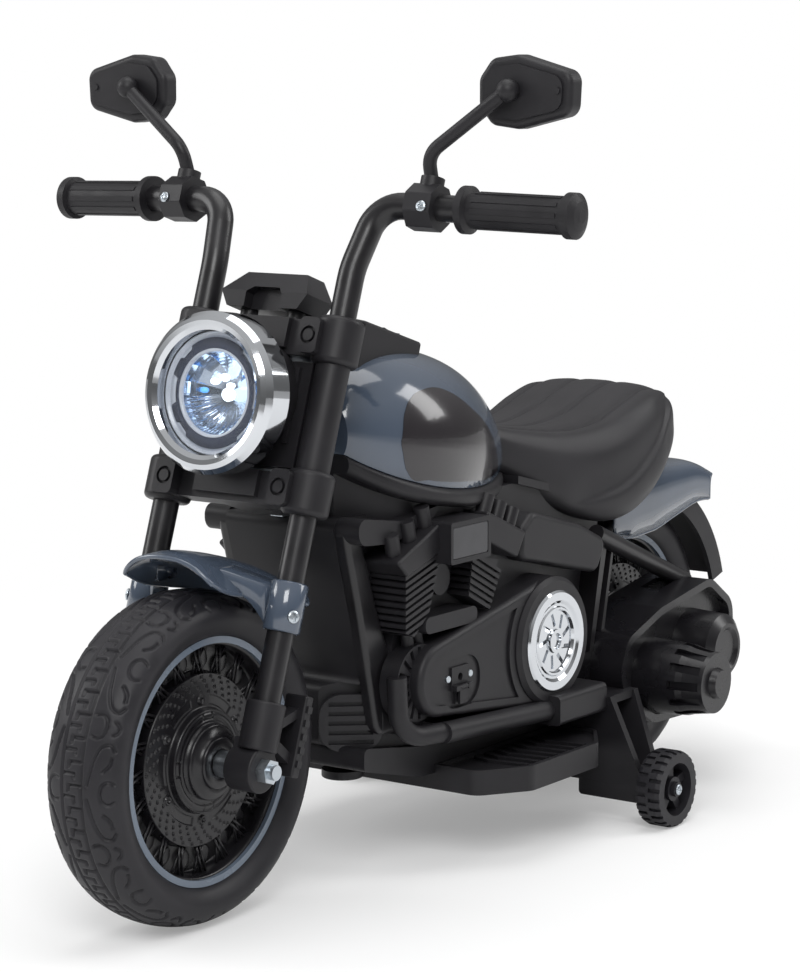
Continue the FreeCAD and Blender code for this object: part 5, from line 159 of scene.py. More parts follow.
# hard red cap of the horn button, then the pieces inside the body
hornAbs = mouldedPlastic("ABS moulded red cap", {
    "dark": "#8c1216", "light": "#a3181c", "cloudMm": 8, "grainMm": 2, "grain": 0.03, "rough": (0.2, 0.28)})
nylonGear = mouldedPlastic("nylon moulded black gear", {
    "dark": "#1d1d1f", "light": "#262628", "cloudMm": 9, "grainMm": 1, "grain": 0.06, "rough": (0.4, 0.5)})
boardGreen = mouldedPlastic("glass-epoxy circuit board", {
    "dark": "#0f4a2a", "light": "#1a6338", "cloudMm": 7, "grainMm": 1, "grain": 0.06, "rough": (0.3, 0.4)})
batteryAbs = mouldedPlastic("ABS moulded battery case", {
    "dark": "#3a3c40", "light": "#46484c", "cloudMm": 20, "grainMm": 1, "grain": 0.1, "rough": (0.45, 0.55)})
# vacuum-metallised plastic: bright, neutral, a little soft
chromePlate = platedMetal("metallised ABS bright chrome", {
    "colour": "#c9ccd0", "smearMm": 26, "rough": (0.045, 0.10), "bump": 0.02})
zincSteel = platedMetal("zinc-plated steel screw", {
    "colour": "#b9c0c6", "smearMm": 2.2, "rough": (0.22, 0.40), "bump": 0.15})
motorSteel = platedMetal("drawn steel motor can", {
    "colour": "#9a9da0", "smearMm": 4, "rough": (0.3, 0.45), "bump": 0.1})
mirrorGlass = platedMetal("silvered glass mirror", {
    "colour": "#e8ebec", "smearMm": 60, "rough": (0.01, 0.03), "bump": 0.0})
# the lens is thin clear polycarbonate: mostly see-through with a sharp shine
lensMat = newMaterial("polycarbonate moulded clear lens", {
    "Base Color": srgb("#eef4fa"), "Roughness": 0.03, "Alpha": 0.03, "IOR": 1.58})[0]
print("materials made")

slotLooks = {
    "charcoal_plastic": matteBlackPp, "tyre_plastic": tyrePe, "grey_rim": rimAbs, "slate_gloss": slateAbs,
    "black_tube": powderCoat, "grip_rubber": gripTpr, "seat_vinyl": seatVinyl, "chrome_trim": chromePlate,
    "clear_lens": chromePlate, "zinc_steel": zincSteel, "horn_red": hornAbs, "motor_can": motorSteel,
    "battery_case": batteryAbs, "circuit_board": boardGreen, "nylon_gear": nylonGear}
# nodes that look unlike the rest of their slot
nodeLooks = {"headlight_lens": lensMat, "front_wheel_centre": satinBlackPp, "rear_wheel_centre": satinBlackPp,
             "motor_cover": satinBlackPp, "swingarm_left": satinBlackPp, "swingarm_right": satinBlackPp,
             "axle_caps": satinBlackPp}
nodeSlots = {s["node"]: s["material_slot"] for s in frame["record"]["subparts"]}
for name, obj in nodes.items():
    obj.data.materials.clear()
    obj.data.materials.append(nodeLooks.get(name) or slotLooks[nodeSlots[name]])


def meshPiece(name, verts, faces, mat, body, smooth=True):
    mesh = bpy.data.meshes.new(name)
    mesh.from_pydata([tuple(v) for v in verts], [], faces)
    mesh.validate()
    bm = bmesh.new()
    bm.from_mesh(mesh)
    bmesh.ops.recalc_face_normals(bm, faces=bm.faces)
    bm.to_mesh(mesh)
    bm.free()
    if smooth:
        mesh.polygons.foreach_set("use_smooth", [True] * len(mesh.polygons))
    mesh.materials.append(mat)
    obj = bpy.data.objects.new(name, mesh)
    bpy.context.scene.collection.objects.link(obj)
    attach(obj, body)
    return obj


def inMetres(verts):
    return [(x * mm, y * mm, z * mm) for x, y, z in verts]


def gridFaces(rows, cols, wrapRows=False, wrapCols=False):
    faces = []
    for i in range(rows if wrapRows else rows - 1):
        for j in range(cols if wrapCols else cols - 1):
            a, b = i * cols + j, i * cols + (j + 1) % cols
            c, d = ((i + 1) % rows) * cols + (j + 1) % cols, ((i + 1) % rows) * cols + j
            faces.append((a, b, c, d))
    return faces


# the same faces for points that start at a later index
def shifted(faces, first):
    return [tuple(first + k for k in face) for face in faces]


# points of a ring round a centre, square to the way that turn faces
def ringPoints(centre, turn, radius, sides):
    angles = [2 * math.pi * i / sides for i in range(sides)]
    return [tuple(centre + turn @ Vector((radius * math.cos(a), radius * math.sin(a), 0))) for a in angles]


def nodeTree(node):
    mesh = nodes[node].data
    return BVHTree.FromPolygons([v.co for v in mesh.vertices], [tuple(p.vertices) for p in mesh.polygons])


# smooth line through a table of values
def smoothTable(xs, ys, at):
    xs, ys, at = np.asarray(xs, float), np.asarray(ys, float), np.asarray(at, float)
    slopes = np.gradient(ys, xs)
    k = np.clip(np.searchsorted(xs, at) - 1, 0, len(xs) - 2)
    h = xs[k + 1] - xs[k]
    t = np.clip((at - xs[k]) / h, 0, 1)
    return ((2 * t**3 - 3 * t**2 + 1) * ys[k] + (t**3 - 2 * t**2 + t) * h * slopes[k]
            + (3 * t**2 - 2 * t**3) * ys[k + 1] + (t**3 - t**2) * h * slopes[k + 1])


# distance run so far at each point of a line
def runAlong(points):
    return np.concatenate([[0], np.cumsum(np.hypot(*np.diff(points, axis=0).T))])


def smoothStep(low, high, value):
    t = np.clip((value - low) / (high - low), 0, 1)
    return t * t * (3 - 2 * t)


# one inside the first edge, nought outside the second, both as multiples of a width
def fadeOut(edges, value, width=1.0):
    return 1 - smoothStep(width * edges[0], width * edges[1], value)


def distanceToLines(px, py, lines):
    best = np.full(px.shape, np.inf)
    for line in lines:
        for (ax, ay), (bx, by) in zip(line[:-1], line[1:]):
            dx, dy = bx - ax, by - ay
            t = np.clip(((px - ax) * dx + (py - ay) * dy) / (dx * dx + dy * dy), 0, 1)
            best = np.minimum(best, np.hypot(px - ax - t * dx, py - ay - t * dy))
    return best


def curvedLine(points, steps=6):
    table = np.array(points, float)
    along = runAlong(table)
    at = np.linspace(0, along[-1], steps * (len(points) - 1) + 1)
    return list(zip(smoothTable(along, table[:, 0], at), smoothTable(along, table[:, 1], at)))


# tyre: round section with a sunk ladder down the middle and curled cuts on both shoulders
# rung and cut points are (share of the pitch or cell, distance from the crown)
tyre = {"axleZ": 111.0, "frontY": -265.8, "rearY": 253.8, "around": 840, "across": 132,
        "section": ((22.4, 82.6), (24.4, 83.8), (28.2, 89.0), (29.9, 95.4), (28.0, 101.5), (21.0, 107.0),
                    (11.0, 110.0), (0.0, 111.0)),
        "bandHalf": 7.8, "bandEdge": (0.55, 1.25), "lineWidth": 1.9, "depth": 2.0,
        "rungs": 92, "rungReach": 1.0, "rungEdge": (0.6, 1.3),
        "rungLines": (((0.5, 6.6), (0.5, -2.2), (0.95, -2.2)), ((1.5, -6.6), (1.5, 2.2), (1.95, 2.2))),
        "pitchRadius": 104.0, "cells": 8, "shoulderFrom": 2.0, "shoulderTo": 34.0,
        "shoulderDepth": 1.6, "shoulderWidth": 2.0, "cutEdge": (0.5, 1.35),
        "cuts": (((0.05, 11.6), (0.13, 13.4), (0.28, 16.8), (0.36, 21.0), (0.375, 25.5), (0.33, 29.0)),
                 ((0.42, 11.8), (0.41, 16.0), (0.44, 19.8), (0.5, 21.0)),
                 ((0.17, 22.6), (0.22, 26.4), (0.28, 27.4)),
                 ((0.0, 20.6), (0.06, 22.0), (0.09, 26.0), (0.07, 30.2)),
                 ((0.45, 26.0), (0.475, 28.6), (0.5, 29.4)))}


def tyrePiece(name, axleY, body, node):
    half = np.array(tyre["section"], float)
    section = np.vstack([half, np.column_stack([-half[-2::-1, 0], half[-2::-1, 1]])])
    along = runAlong(section)
    at = np.linspace(0, along[-1], tyre["across"])
    xs, rs = smoothTable(along, section[:, 0], at), smoothTable(along, section[:, 1], at)
    outward = np.array([np.gradient(rs, at), -np.gradient(xs, at)])
    outward /= np.hypot(*outward)
    if outward[1][len(at) // 2] < 0:
        outward = -outward
    turn = np.linspace(0, 2 * math.pi, tyre["around"], endpoint=False)
    # over is the signed distance from the crown, measured on the surface
    turns, over = np.meshgrid(turn, along[-1] / 2 - at, indexing="ij")
    side, width = np.abs(over), tyre["lineWidth"] / 2
    band = fadeOut(tyre["bandEdge"], np.abs(side - tyre["bandHalf"]), width)
    pitch = 2 * math.pi * tyre["axleZ"] / tyre["rungs"]
    run = (turns * tyre["axleZ"]) % (2 * pitch)
    lines = [[(pitch * a, b) for a, b in line] for line in tyre["rungLines"]]
    near = side < tyre["bandHalf"] + tyre["rungReach"]
    cut = np.zeros_like(turns)
    cut[near] = fadeOut(tyre["rungEdge"], distanceToLines(run[near], over[near], lines), width)
    sunk = np.maximum(band, cut) * tyre["depth"]
    # each cell holds the cuts and their mirror image, and the far side is half a cell on
    cell = 2 * math.pi * tyre["pitchRadius"] / tyre["cells"]
    cuts = [curvedLine([(cell * a, b) for a, b in line]) for line in tyre["cuts"]]
    lines = cuts + [[(cell - a, b) for a, b in line] for line in cuts]
    run = (turns * tyre["pitchRadius"] + np.where(over > 0, 0.0, cell / 2)) % cell
    near = (side > tyre["bandHalf"] + tyre["shoulderFrom"]) & (side < tyre["shoulderTo"])
    away = distanceToLines(run[near], side[near], lines)
    cut = np.zeros_like(turns)
    cut[near] = fadeOut(tyre["cutEdge"], away, tyre["shoulderWidth"] / 2)
    sunk = np.maximum(sunk, cut * tyre["shoulderDepth"])
    gridX = xs[None, :] - sunk * outward[0][None, :]
    gridR = rs[None, :] - sunk * outward[1][None, :]
    verts = np.stack([gridX, -gridR * np.sin(turns), gridR * np.cos(turns)], axis=-1).reshape(-1, 3) * mm
    faces = gridFaces(tyre["around"], tyre["across"], wrapRows=True, wrapCols=True)
    obj = meshPiece(name, verts, faces, tyrePe, body)
    obj.location = (0, axleY * mm, tyre["axleZ"] * mm)
    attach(obj, body)
    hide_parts(node)


tyrePiece("frontTyreTread", tyre["frontY"], "front_wheel", "front_tyre")
tyrePiece("rearTyreTread", tyre["rearY"], "rear_wheel", "rear_tyre")
print("tyres made")

# wheel centre: stepped hub, rotor with drilled dimples and socket bolts, a closed web with leaf bosses and
# crossed wire spokes; hub is (radius, x), rings are (radius, x, steps to the next ring)
wheelCentre = {
    "around": 576,
    "hub": ((0.0, 31.0), (16.0, 31.0), (16.8, 30.7), (17.2, 29.8), (17.3, 26.3), (24.0, 26.0), (24.7, 25.7),
            (25.1, 24.8)),
    "rings": ((25.2, 21.0, 12), (34.0, 20.6, 3), (34.6, 15.4, 2), (35.4, 14.6, 60), (57.0, 14.6, 2),
              (57.4, 11.0, 2), (58.2, 4.5, 44), (75.6, 4.5, 2), (76.3, 18.6, 2), (77.0, 19.6, 2),
              (79.4, 19.9, 0)),
    "dimpleRings": (45.0, 48.6, 52.2, 55.0), "dimples": 36, "dimpleSkew": 0.3, "dimpleR": 1.15,
    "dimpleEdge": (0.7, 1.2), "dimpleDepth": 1.1,
    "boltRing": 40.0, "bolts": 6, "boltEdge": (2.75, 3.45), "boltHeight": 1.5, "socketEdge": (1.2, 1.8),
    "socketDepth": 1.6, "pocketDepth": 0.9, "pocketLong": (11.0, 11.8), "pocketWide": (2.6, 3.3),
    "lines": (28.2, 32.4), "lineDepth": 0.9, "lineEdge": (0.35, 0.8), "gates": 4, "gateHalf": 4.6,
    "leaves": 20, "leafHalf": 5.0, "leafFrom": 59.5, "leafTo": 74.0, "leafRise": 4.2, "leafBend": 0.8,
    "leafEdge": (-0.8, 0.2),
    "spokeFrom": 57.6, "spokeTo": 76.4, "spokeX": (11.4, 13.0), "spokeR": 0.85, "spokeLean": 0.042,
    "spokeStep": 0.028, "spokeSides": 8}


def wheelRelief(radii, turns):
    w = wheelCentre
    rise = np.zeros_like(radii)
    for ring in w["lines"]:
        rise -= w["lineDepth"] * fadeOut(w["lineEdge"], np.abs(radii - ring))
    gate = 2 * math.pi / w["gates"]
    gap = np.abs((turns + gate / 2) % gate - gate / 2) * radii
    between = (radii > w["lines"][0]) & (radii < w["lines"][1])
    rise -= w["lineDepth"] * fadeOut(w["lineEdge"], np.abs(gap - w["gateHalf"])) * between
    pitch = 2 * math.pi / w["dimples"]
    for row, ring in enumerate(w["dimpleRings"]):
        turn = (turns - row * w["dimpleSkew"] * pitch + pitch / 2) % pitch - pitch / 2
        rise -= w["dimpleDepth"] * fadeOut(w["dimpleEdge"], np.hypot(turn * ring, radii - ring), w["dimpleR"])
    pitch = 2 * math.pi / w["bolts"]
    turn = (turns + pitch / 2) % pitch - pitch / 2
    away = np.hypot(turn * w["boltRing"], radii - w["boltRing"])
    along = np.abs(np.abs(turn) - pitch / 2) * w["boltRing"]
    pocket = fadeOut(w["pocketLong"], along) * fadeOut(w["pocketWide"], np.abs(radii - w["boltRing"]))
    rise -= w["pocketDepth"] * pocket
    rise += w["boltHeight"] * fadeOut(w["boltEdge"], away)
    rise -= w["socketDepth"] * fadeOut(w["socketEdge"], away)
    pitch = 2 * math.pi / w["leaves"]
    share = np.clip((radii - w["leafFrom"]) / (w["leafTo"] - w["leafFrom"]), 0, 1)
    half = w["leafHalf"] * np.sin(math.pi * share ** w["leafBend"])
    leaf = fadeOut(w["leafEdge"], np.abs(turns % pitch - pitch / 2) * radii - half)
    rise += w["leafRise"] * leaf * (share > 0) * (share < 1)
    return rise


def wheelCentrePiece(name, axleY, body, node):
    w = wheelCentre
    points = [v.co / mm for v in nodes[node].data.vertices]
    bore = min(math.hypot(p.y - axleY, p.z - tyre["axleZ"]) for p in points)
    profile = [(max(r, bore), x) for r, x in w["hub"]]
    for (r, x, count), (nextR, nextX, _) in zip(w["rings"], w["rings"][1:]):
        profile += [(r + (nextR - r) * k / count, x + (nextX - x) * k / count) for k in range(count)]
    profile.append(w["rings"][-1][:2])
    ringR, ringX = np.array(profile).T
    turn = np.linspace(0, 2 * math.pi, w["around"], endpoint=False)
    radii, turns = np.meshgrid(ringR, turn, indexing="ij")
    gridX = ringX[:, None] + wheelRelief(radii, turns)
    near = np.stack([gridX, -radii * np.sin(turns), radii * np.cos(turns)], axis=-1)
    far = near[::-1] * np.array([-1.0, 1.0, 1.0])
    verts = [tuple(v) for v in np.concatenate([near, far]).reshape(-1, 3)]
    faces = gridFaces(2 * len(profile), w["around"], wrapRows=True, wrapCols=True)
    for k, lean, pair, side in itertools.product(range(w["leaves"]), (-1, 1), (-1, 1), (-1, 1)):
        middle = 2 * math.pi * k / w["leaves"] + pair * w["spokeStep"]
        x, tip = side * w["spokeX"][lean > 0], lean * w["spokeLean"]
        ends = [Vector((x, -r * math.sin(t), r * math.cos(t)))
                for r, t in ((w["spokeFrom"], middle - tip), (w["spokeTo"], middle + tip))]
        turn = (ends[1] - ends[0]).to_track_quat("Z", "X").to_matrix()
        first, n = len(verts), w["spokeSides"]
        for end in ends:
            verts += ringPoints(end, turn, w["spokeR"], n)
        faces += shifted(gridFaces(2, n, wrapCols=True) + [tuple(range(n)), tuple(range(n, 2 * n))], first)
    obj = meshPiece(name, inMetres(verts), faces, satinBlackPp, body)
    obj.location = (0, axleY * mm, tyre["axleZ"] * mm)
    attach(obj, body)
    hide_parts(node)


wheelCentrePiece("frontWheelFace", tyre["frontY"], "front_wheel", "front_wheel_centre")
wheelCentrePiece("rearWheelFace", tyre["rearY"], "rear_wheel", "rear_wheel_centre")
print("wheel centres made")


# arched shell over a wheel with a rolled edge: a crest line along y, sides that drop from it, round ends
def archShell(m):
    share = np.linspace(-1, 1, m["across"])
    side = np.abs(np.sin(share * math.pi / 2))[None, :] ** m["spread"] + np.zeros((m["along"], 1))
    sweep = 1 - np.sqrt(1 - m["endRound"] * side ** 2)
    front, back = m["noseY"] + m["noseSweep"] * sweep, m["tailY"] - m["tailSweep"] * sweep
    gridY = front + (back - front) * np.linspace(0, 1, m["along"])[:, None]
    fall = 1 - np.clip(1 - side ** m["arch"], 0, 1) ** m["brow"]
    gridZ = smoothTable(m["crestAt"], m["crest"], gridY) - smoothTable(m["depthAt"], m["depth"], gridY) * fall
    outer = np.stack([m["half"] * side * np.sign(share), gridY, gridZ], axis=-1)
    normal = np.cross(np.gradient(outer, axis=1), np.gradient(outer, axis=0))
    normal /= np.linalg.norm(normal, axis=-1, keepdims=True)
    verts = [tuple(v) for v in np.concatenate([outer, outer - normal * m["thick"]]).reshape(-1, 3)]
    rows, cols = side.shape
    skin = rows * cols
    faces = gridFaces(rows, cols) + shifted(gridFaces(rows, cols), skin)
    edge = [i * cols for i in range(rows - 1)] + [(rows - 1) * cols + j for j in range(cols - 1)]
    edge += [i * cols + cols - 1 for i in range(rows - 1, 0, -1)] + list(range(cols - 1, 0, -1))
    faces += [(a, b, b + skin, a + skin) for a, b in zip(edge, edge[1:] + edge[:1])]
    # round bead along the edge
    outer, normal = outer.reshape(-1, 3), normal.reshape(-1, 3)
    rim = [Vector(outer[k]) - Vector(normal[k]) * m["thick"] / 2 for k in edge]
    first, n = len(verts), m["beadSides"]
    for k, point in enumerate(rim):
        turn = (rim[(k + 1) % len(rim)] - rim[k - 1]).to_track_quat("Z", "Y").to_matrix()
        verts += ringPoints(point, turn, m["beadR"], n)
    faces += shifted(gridFaces(len(rim), n, wrapRows=True, wrapCols=True), first)
    return verts, faces


# front mudguard: an arched visor, its sides deepest beside the fork, on webs that end in sleeves on the tubes
mudguard = {"half": 37.0, "noseY": -285.5, "tailY": -166.0, "noseSweep": 7.0, "tailSweep": 16.0,
            "endRound": 0.97, "thick": 2.4, "beadR": 1.7, "beadSides": 10, "along": 90, "across": 64,
            "spread": 1.0, "arch": 2.5, "brow": 1.0,
            "crestAt": (-285.5, -277.0, -267.0, -257.0, -231.0, -205.0, -184.0, -166.0),
            "crest": (247.6, 249.0, 248.6, 246.9, 240.4, 231.8, 222.6, 213.5),
            "depthAt": (-285.5, -279.0, -270.0, -261.0, -242.0, -220.0, -190.0, -166.0),
            "depth": (13.0, 16.6, 21.4, 23.8, 24.0, 22.0, 18.0, 13.0),
            "rake": 19.0, "legX": 58.0, "boreR": 9.05, "sleeveR": 12.4, "sleeveLow": 90.0,
            "sleeveHigh": 123.0, "sleeveSoft": 1.2, "sleeveSteps": 72, "webFrom": 25.0, "webGap": 0.4,
            "webSoft": 1.6, "webBend": 2.4, "webSteps": 14, "webIn": ((-261.0, -241.0), (224.5, 238.0)),
            "webOut": ((-241.0, -224.0), (198.5, 227.0))}


def mudguardPiece():
    m = mudguard
    verts, faces = archShell(m)
    rake = math.radians(m["rake"])
    low, high, outR, soft = m["sleeveLow"], m["sleeveHigh"], m["sleeveR"], m["sleeveSoft"]
    sleeve = [(m["boreR"], low), (outR - soft, low), (outR, low + soft),
              (outR, high - soft), (outR - soft, high), (m["boreR"], high)]
    start, end, edge = m["webFrom"], m["legX"] - m["boreR"] - m["webGap"], m["webSoft"]
    (inY, inZ), (outY, outZ) = m["webIn"], m["webOut"]
    for hand, word in hands[::-1]:
        first, steps = len(verts), m["sleeveSteps"]
        for radius, rise in sleeve:
            for i in range(steps):
                a = 2 * math.pi * i / steps
                x, y = hand * m["legX"] + radius * math.cos(a), radius * math.sin(a)
                verts.append((x, tyre["frontY"] + y * math.cos(rake) + rise * math.sin(rake),
                              tyre["axleZ"] + rise * math.cos(rake) - y * math.sin(rake)))
        faces += shifted(gridFaces(len(sleeve), steps, wrapRows=True, wrapCols=True), first)
        first, steps = len(verts), m["webSteps"]
        for i in range(steps + 1):
            t = i / steps
            x = hand * (start + (end - start) * t)
            y0, y1 = inY[0] + (outY[0] - inY[0]) * t, inY[1] + (outY[1] - inY[1]) * t
            z0, z1 = inZ[0] + (outZ[0] - inZ[0]) * t ** m["webBend"], inZ[1] + (outZ[1] - inZ[1]) * t
            corners = ((y0, z0 + edge), (y0 + edge, z0), (y1 - edge, z0), (y1, z0 + edge),
                       (y1, z1 - edge), (y1 - edge, z1), (y0 + edge, z1), (y0, z1 - edge))
            verts += [(x, y, z) for y, z in corners]
        n = len(corners)
        ends = [tuple(range(n)), tuple(range(steps * n, (steps + 1) * n))]
        faces += shifted(gridFaces(steps + 1, n, wrapCols=True) + ends, first)
    obj = meshPiece("frontVisor", inMetres(verts), faces, slateAbs, "steering")
    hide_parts("front_fender")


mudguardPiece()

# rear fender: the same kind of shell, broad and long, its round tail turned down behind the seat
rearGuard = {"half": 47.0, "noseY": 198.8, "tailY": 375.0, "noseSweep": 0.0, "tailSweep": 36.0,
             "endRound": 0.97, "thick": 2.6, "beadR": 1.5, "beadSides": 10, "along": 110, "across": 96,
             "spread": 0.4, "arch": 6.0, "brow": 1 / 6,
             "crestAt": (198.8, 215.0, 232.8, 262.0, 300.0, 327.0, 345.0, 363.0, 375.0),
             "crest": (229.0, 239.5, 246.0, 247.5, 247.2, 245.0, 239.0, 228.5, 213.0),
             "depthAt": (198.8, 226.0, 255.8, 287.8, 310.0, 330.0, 352.0, 375.0),
             "depth": (32.0, 48.0, 49.6, 43.0, 37.0, 31.5, 25.0, 18.0)}
rearVerts, rearFaces = archShell(rearGuard)
rearVisor = meshPiece("rearVisor", inMetres(rearVerts), rearFaces, slateAbs, "chassis")
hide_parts("rear_fender")
print("mudguards made")

# saddle: scooped top that rises to the back, full sides, four sewn channels that fan out from the nose
# stations are shares of the length, section points are shares of the half width and the height
saddle = {"frontY": 50.8, "rearY": 284.8, "halfWidth": 70.0, "lowZ": 218.0, "topZ": 315.0, "along": 190,
          "around": 180, "rowPull": 1.35, "endRound": 26.0, "endMiddle": 0.55, "endWidth": 0.30,
          "endHeight": 0.12,
          "stations": (0.0, 0.16, 0.35, 0.52, 0.67, 0.80, 0.92, 1.0),
          "widths": (0.47, 0.67, 0.84, 0.96, 1.0, 0.97, 0.82, 0.52),
          "lows": (0.54, 0.28, 0.08, 0.0, 0.07, 0.24, 0.50, 0.64),
          "tops": (0.86, 0.80, 0.77, 0.83, 0.94, 1.0, 0.94, 0.82),
          "section": ((0.0, 0.0), (0.60, 0.0), (0.90, 0.012), (0.965, 0.10), (1.0, 0.46), (0.955, 0.74),
                      (0.84, 0.90), (0.60, 0.965), (0.28, 0.995), (0.0, 1.0)),
          "channelX": (15.5, 46.0), "channelWidth": 2.2, "channelEdge": (0.35, 0.9), "channelDepth": 2.0,
          "channelTop": (0.78, 0.9), "channelFrom": (0.0, 0.06), "channelTo": (0.86, 0.97),
          "fanFrom": 0.42, "fanOver": (0.0, 0.52), "puff": 1.1, "puffReach": (0.0, 9.0),
          "creaseAt": (0.0, 0.30, 0.45, 0.62, 0.78, 0.9, 1.0),
          "crease": (-0.1, 0.06, 0.22, 0.33, 0.50, 0.80, 1.1), "creaseDepth": 2.6,
          "creaseRise": (-0.03, 0.07), "creaseFade": (0.05, 0.5), "creaseStart": (0.26, 0.40),
          "sideFrom": (0.05, 0.15), "sideTo": (0.80, 0.9)}


def saddlePiece():
    s = saddle
    length, height = s["rearY"] - s["frontY"], s["topZ"] - s["lowZ"]
    # closer rows towards the rounded back
    share = (1 - (1 - np.linspace(0, 1, s["along"])) ** s["rowPull"])[:, None]
    half = smoothTable(s["stations"], s["widths"], share) * s["halfWidth"]
    low = s["lowZ"] + smoothTable(s["stations"], s["lows"], share) * height
    rise = s["lowZ"] + smoothTable(s["stations"], s["tops"], share) * height - low
    section = np.array(s["section"])
    arc = runAlong(section)
    at = np.linspace(0, arc[-1], s["around"] // 2)
    px, pz = smoothTable(arc, section[:, 0], at), smoothTable(arc, section[:, 1], at)
    px, pz = np.concatenate([px, -px[-2:0:-1]])[None, :], np.concatenate([pz, pz[-2:0:-1]])[None, :]
    gridX, gridZ = half * px, low + rise * pz
    gridY = s["frontY"] + share * length + np.zeros_like(gridX)
    # rounded back end
    back = np.clip((gridY - (s["rearY"] - s["endRound"])) / s["endRound"], 0, 1)
    close = np.sqrt(np.clip(1 - back**2, 0, 1))
    middle = low + rise * s["endMiddle"]
    gridX = gridX * (s["endWidth"] + (1 - s["endWidth"]) * close)
    gridZ = middle + (gridZ - middle) * (s["endHeight"] + (1 - s["endHeight"]) * close)
    # sewn channels on the top, with the padding drawn down beside them
    fan = s["fanFrom"] + (1 - s["fanFrom"]) * smoothStep(*s["fanOver"], share)
    dent, puff = np.zeros_like(gridX), np.zeros_like(gridX)
    for lane, (side, word) in itertools.product(s["channelX"], hands):
        away = np.abs(gridX - side * lane * fan)
        dent = np.maximum(dent, fadeOut(s["channelEdge"], away, s["channelWidth"]))
        puff = np.maximum(puff, fadeOut(s["puffReach"], away))
    ends = smoothStep(*s["channelFrom"], share) * fadeOut(s["channelTo"], share)
    sewn = smoothStep(*s["channelTop"], pz) * ends
    gridZ = gridZ - (dent * s["channelDepth"] + puff * s["puff"]) * sewn
    # soft crease that sweeps up along the side
    past = pz - smoothTable(s["creaseAt"], s["crease"], share)
    crease = smoothStep(*s["creaseRise"], past) * fadeOut(s["creaseFade"], past) * s["creaseDepth"]
    crease = crease * smoothStep(*s["sideFrom"], pz) * fadeOut(s["sideTo"], pz)
    gridX = gridX - np.sign(gridX) * crease * smoothStep(*s["creaseStart"], share)
    rows, cols = gridX.shape
    verts = np.stack([gridX, gridY, gridZ], axis=-1).reshape(-1, 3) * mm
    faces = gridFaces(rows, cols, wrapCols=True)
    faces += [tuple(range(cols)), tuple(range((rows - 1) * cols, rows * cols))]
    obj = meshPiece("saddleSkin", verts, faces, seatVinyl, "chassis")
    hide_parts("seat")


saddlePiece()
print("saddle made")

# headlamp: bowl with broad wedges above and fine flutes below, dark mask with notches and small lit chips,
# all behind the CAD lens; rings are (radius, depth), notches are (quarter turns, half width, depth) and
# chips are (x, y, size)
lamp = {"centre": (0, -239.7, 349.0), "tilt": 7.4, "steps": 384, "maskSteps": 360, "ringSteps": 180,
        "bowlRadius": 28.2, "bowlDepth": 22.0, "bowlEnd": 2.5, "bowlLip": (28.8, -9.0), "bowlFrom": -9.2,
        "bowlRows": 14, "wedges": 14, "flutes": 104, "fluteDepth": 0.55, "fluteBelow": -0.08,
        "maskOut": 36.6,
        "maskRings": ((36.6, -10.8), (36.6, -8.6), (29.2, -8.6), (28.2, -9.2), (28.2, -10.8)),
        "notches": ((0, 0.24, 4.2), (2, 0.24, 4.2), (0.5, 0.12, 2.2), (1.5, 0.12, 2.2), (2.5, 0.12, 2.2),
                    (3.5, 0.12, 2.2)), "notchEdge": 0.05,
        "edgeRings": ((29.3, -10.6), (29.3, -8.1), (27.8, -8.1), (27.2, -10.6)),
        "stepRings": ((40.6, -13.6), (40.6, -7.8), (39.5, -7.8), (39.0, -10.0), (37.1, -10.0), (36.9, -9.2),
                      (32.0, -9.4), (32.0, -13.6)),
        "chips": ((-1.0, -0.5, 4.6), (-5.0, 10.5, 2.6), (-13.0, 7.5, 2.2), (0.5, 5.4, 2.0)),
        "chipDepth": -24.6, "blue": (-19.5, 1.2, 2.0), "blueDepth": -22.1,
        "dome": ((0.9, -3.0), (1.0, 0.0), (0.8, 2.0), (0.35, 2.8)), "domeSteps": 24}
lean = math.radians(lamp["tilt"])
lampPlace = Matrix.Translation(Vector(lamp["centre"]) * mm) @ Matrix((
    (1, 0, 0, 0), (0, math.sin(lean), -math.cos(lean), 0), (0, math.cos(lean), math.sin(lean), 0),
    (0, 0, 0, 1)))

# LED phosphor under clear epoxy: plain cool white light
glowMat = newMaterial("LED chip cool white, lit", {
    "Base Color": srgb("#f4faff"), "Roughness": 0.2, "Emission Color": srgb("#e2f0ff"),
    "Emission Strength": 3.2})[0]
# painted light: a small glowing blue dome near the bowl wall stands in for a blue glow of light on the bowl;
# it is no lamp
paintedBlueGlowMat = newMaterial("LED glow on the bowl, blue", {
    "Base Color": srgb("#5fa9ee"), "Roughness": 0.3, "Emission Color": srgb("#4f9ff0"),
    "Emission Strength": 0.8})[0]
maskMat = mouldedPlastic("ABS moulded lamp mask", {
    "dark": "#182036", "light": "#1f2840", "cloudMm": 20, "grainMm": 3, "grain": 0.02, "rough": (0.35, 0.42),
    "shine": 0.22})
clearMat = mouldedPlastic("polycarbonate frosted step ring", {
    "dark": "#a9b0bd", "light": "#b9c0cc", "cloudMm": 24, "grainMm": 3, "grain": 0.03, "rough": (0.2, 0.28),
    "ior": 1.58})
# vacuum-metallised plastic of the bowl: neutral mirror, a little darker than the bezel, with the chips' light
# painted into its colour as a blue tint
bowlMat = platedMetal("metallised ABS lamp bowl", {
    "colour": "#9aa6b6", "smearMm": 14, "rough": (0.10, 0.20), "bump": 0.02})


def lampPiece(name, verts, faces, mat, smooth=True, slot="chrome_trim"):
    placed = [lampPlace @ (Vector(v) * mm) for v in verts]
    return meshPiece(name, placed, faces, mat, "steering", smooth)


# rings of a turned form, each (radius, depth), with an optional wave round the turn
def turnedForm(rings, steps, wave=None):
    verts = []
    for radius, depth in rings:
        for k in range(steps):
            turn = 2 * math.pi * k / steps
            r = radius + (wave(radius, turn) if wave else 0.0)
            verts.append((r * math.cos(turn), r * math.sin(turn), depth))
    return verts, gridFaces(len(rings), steps, wrapCols=True)


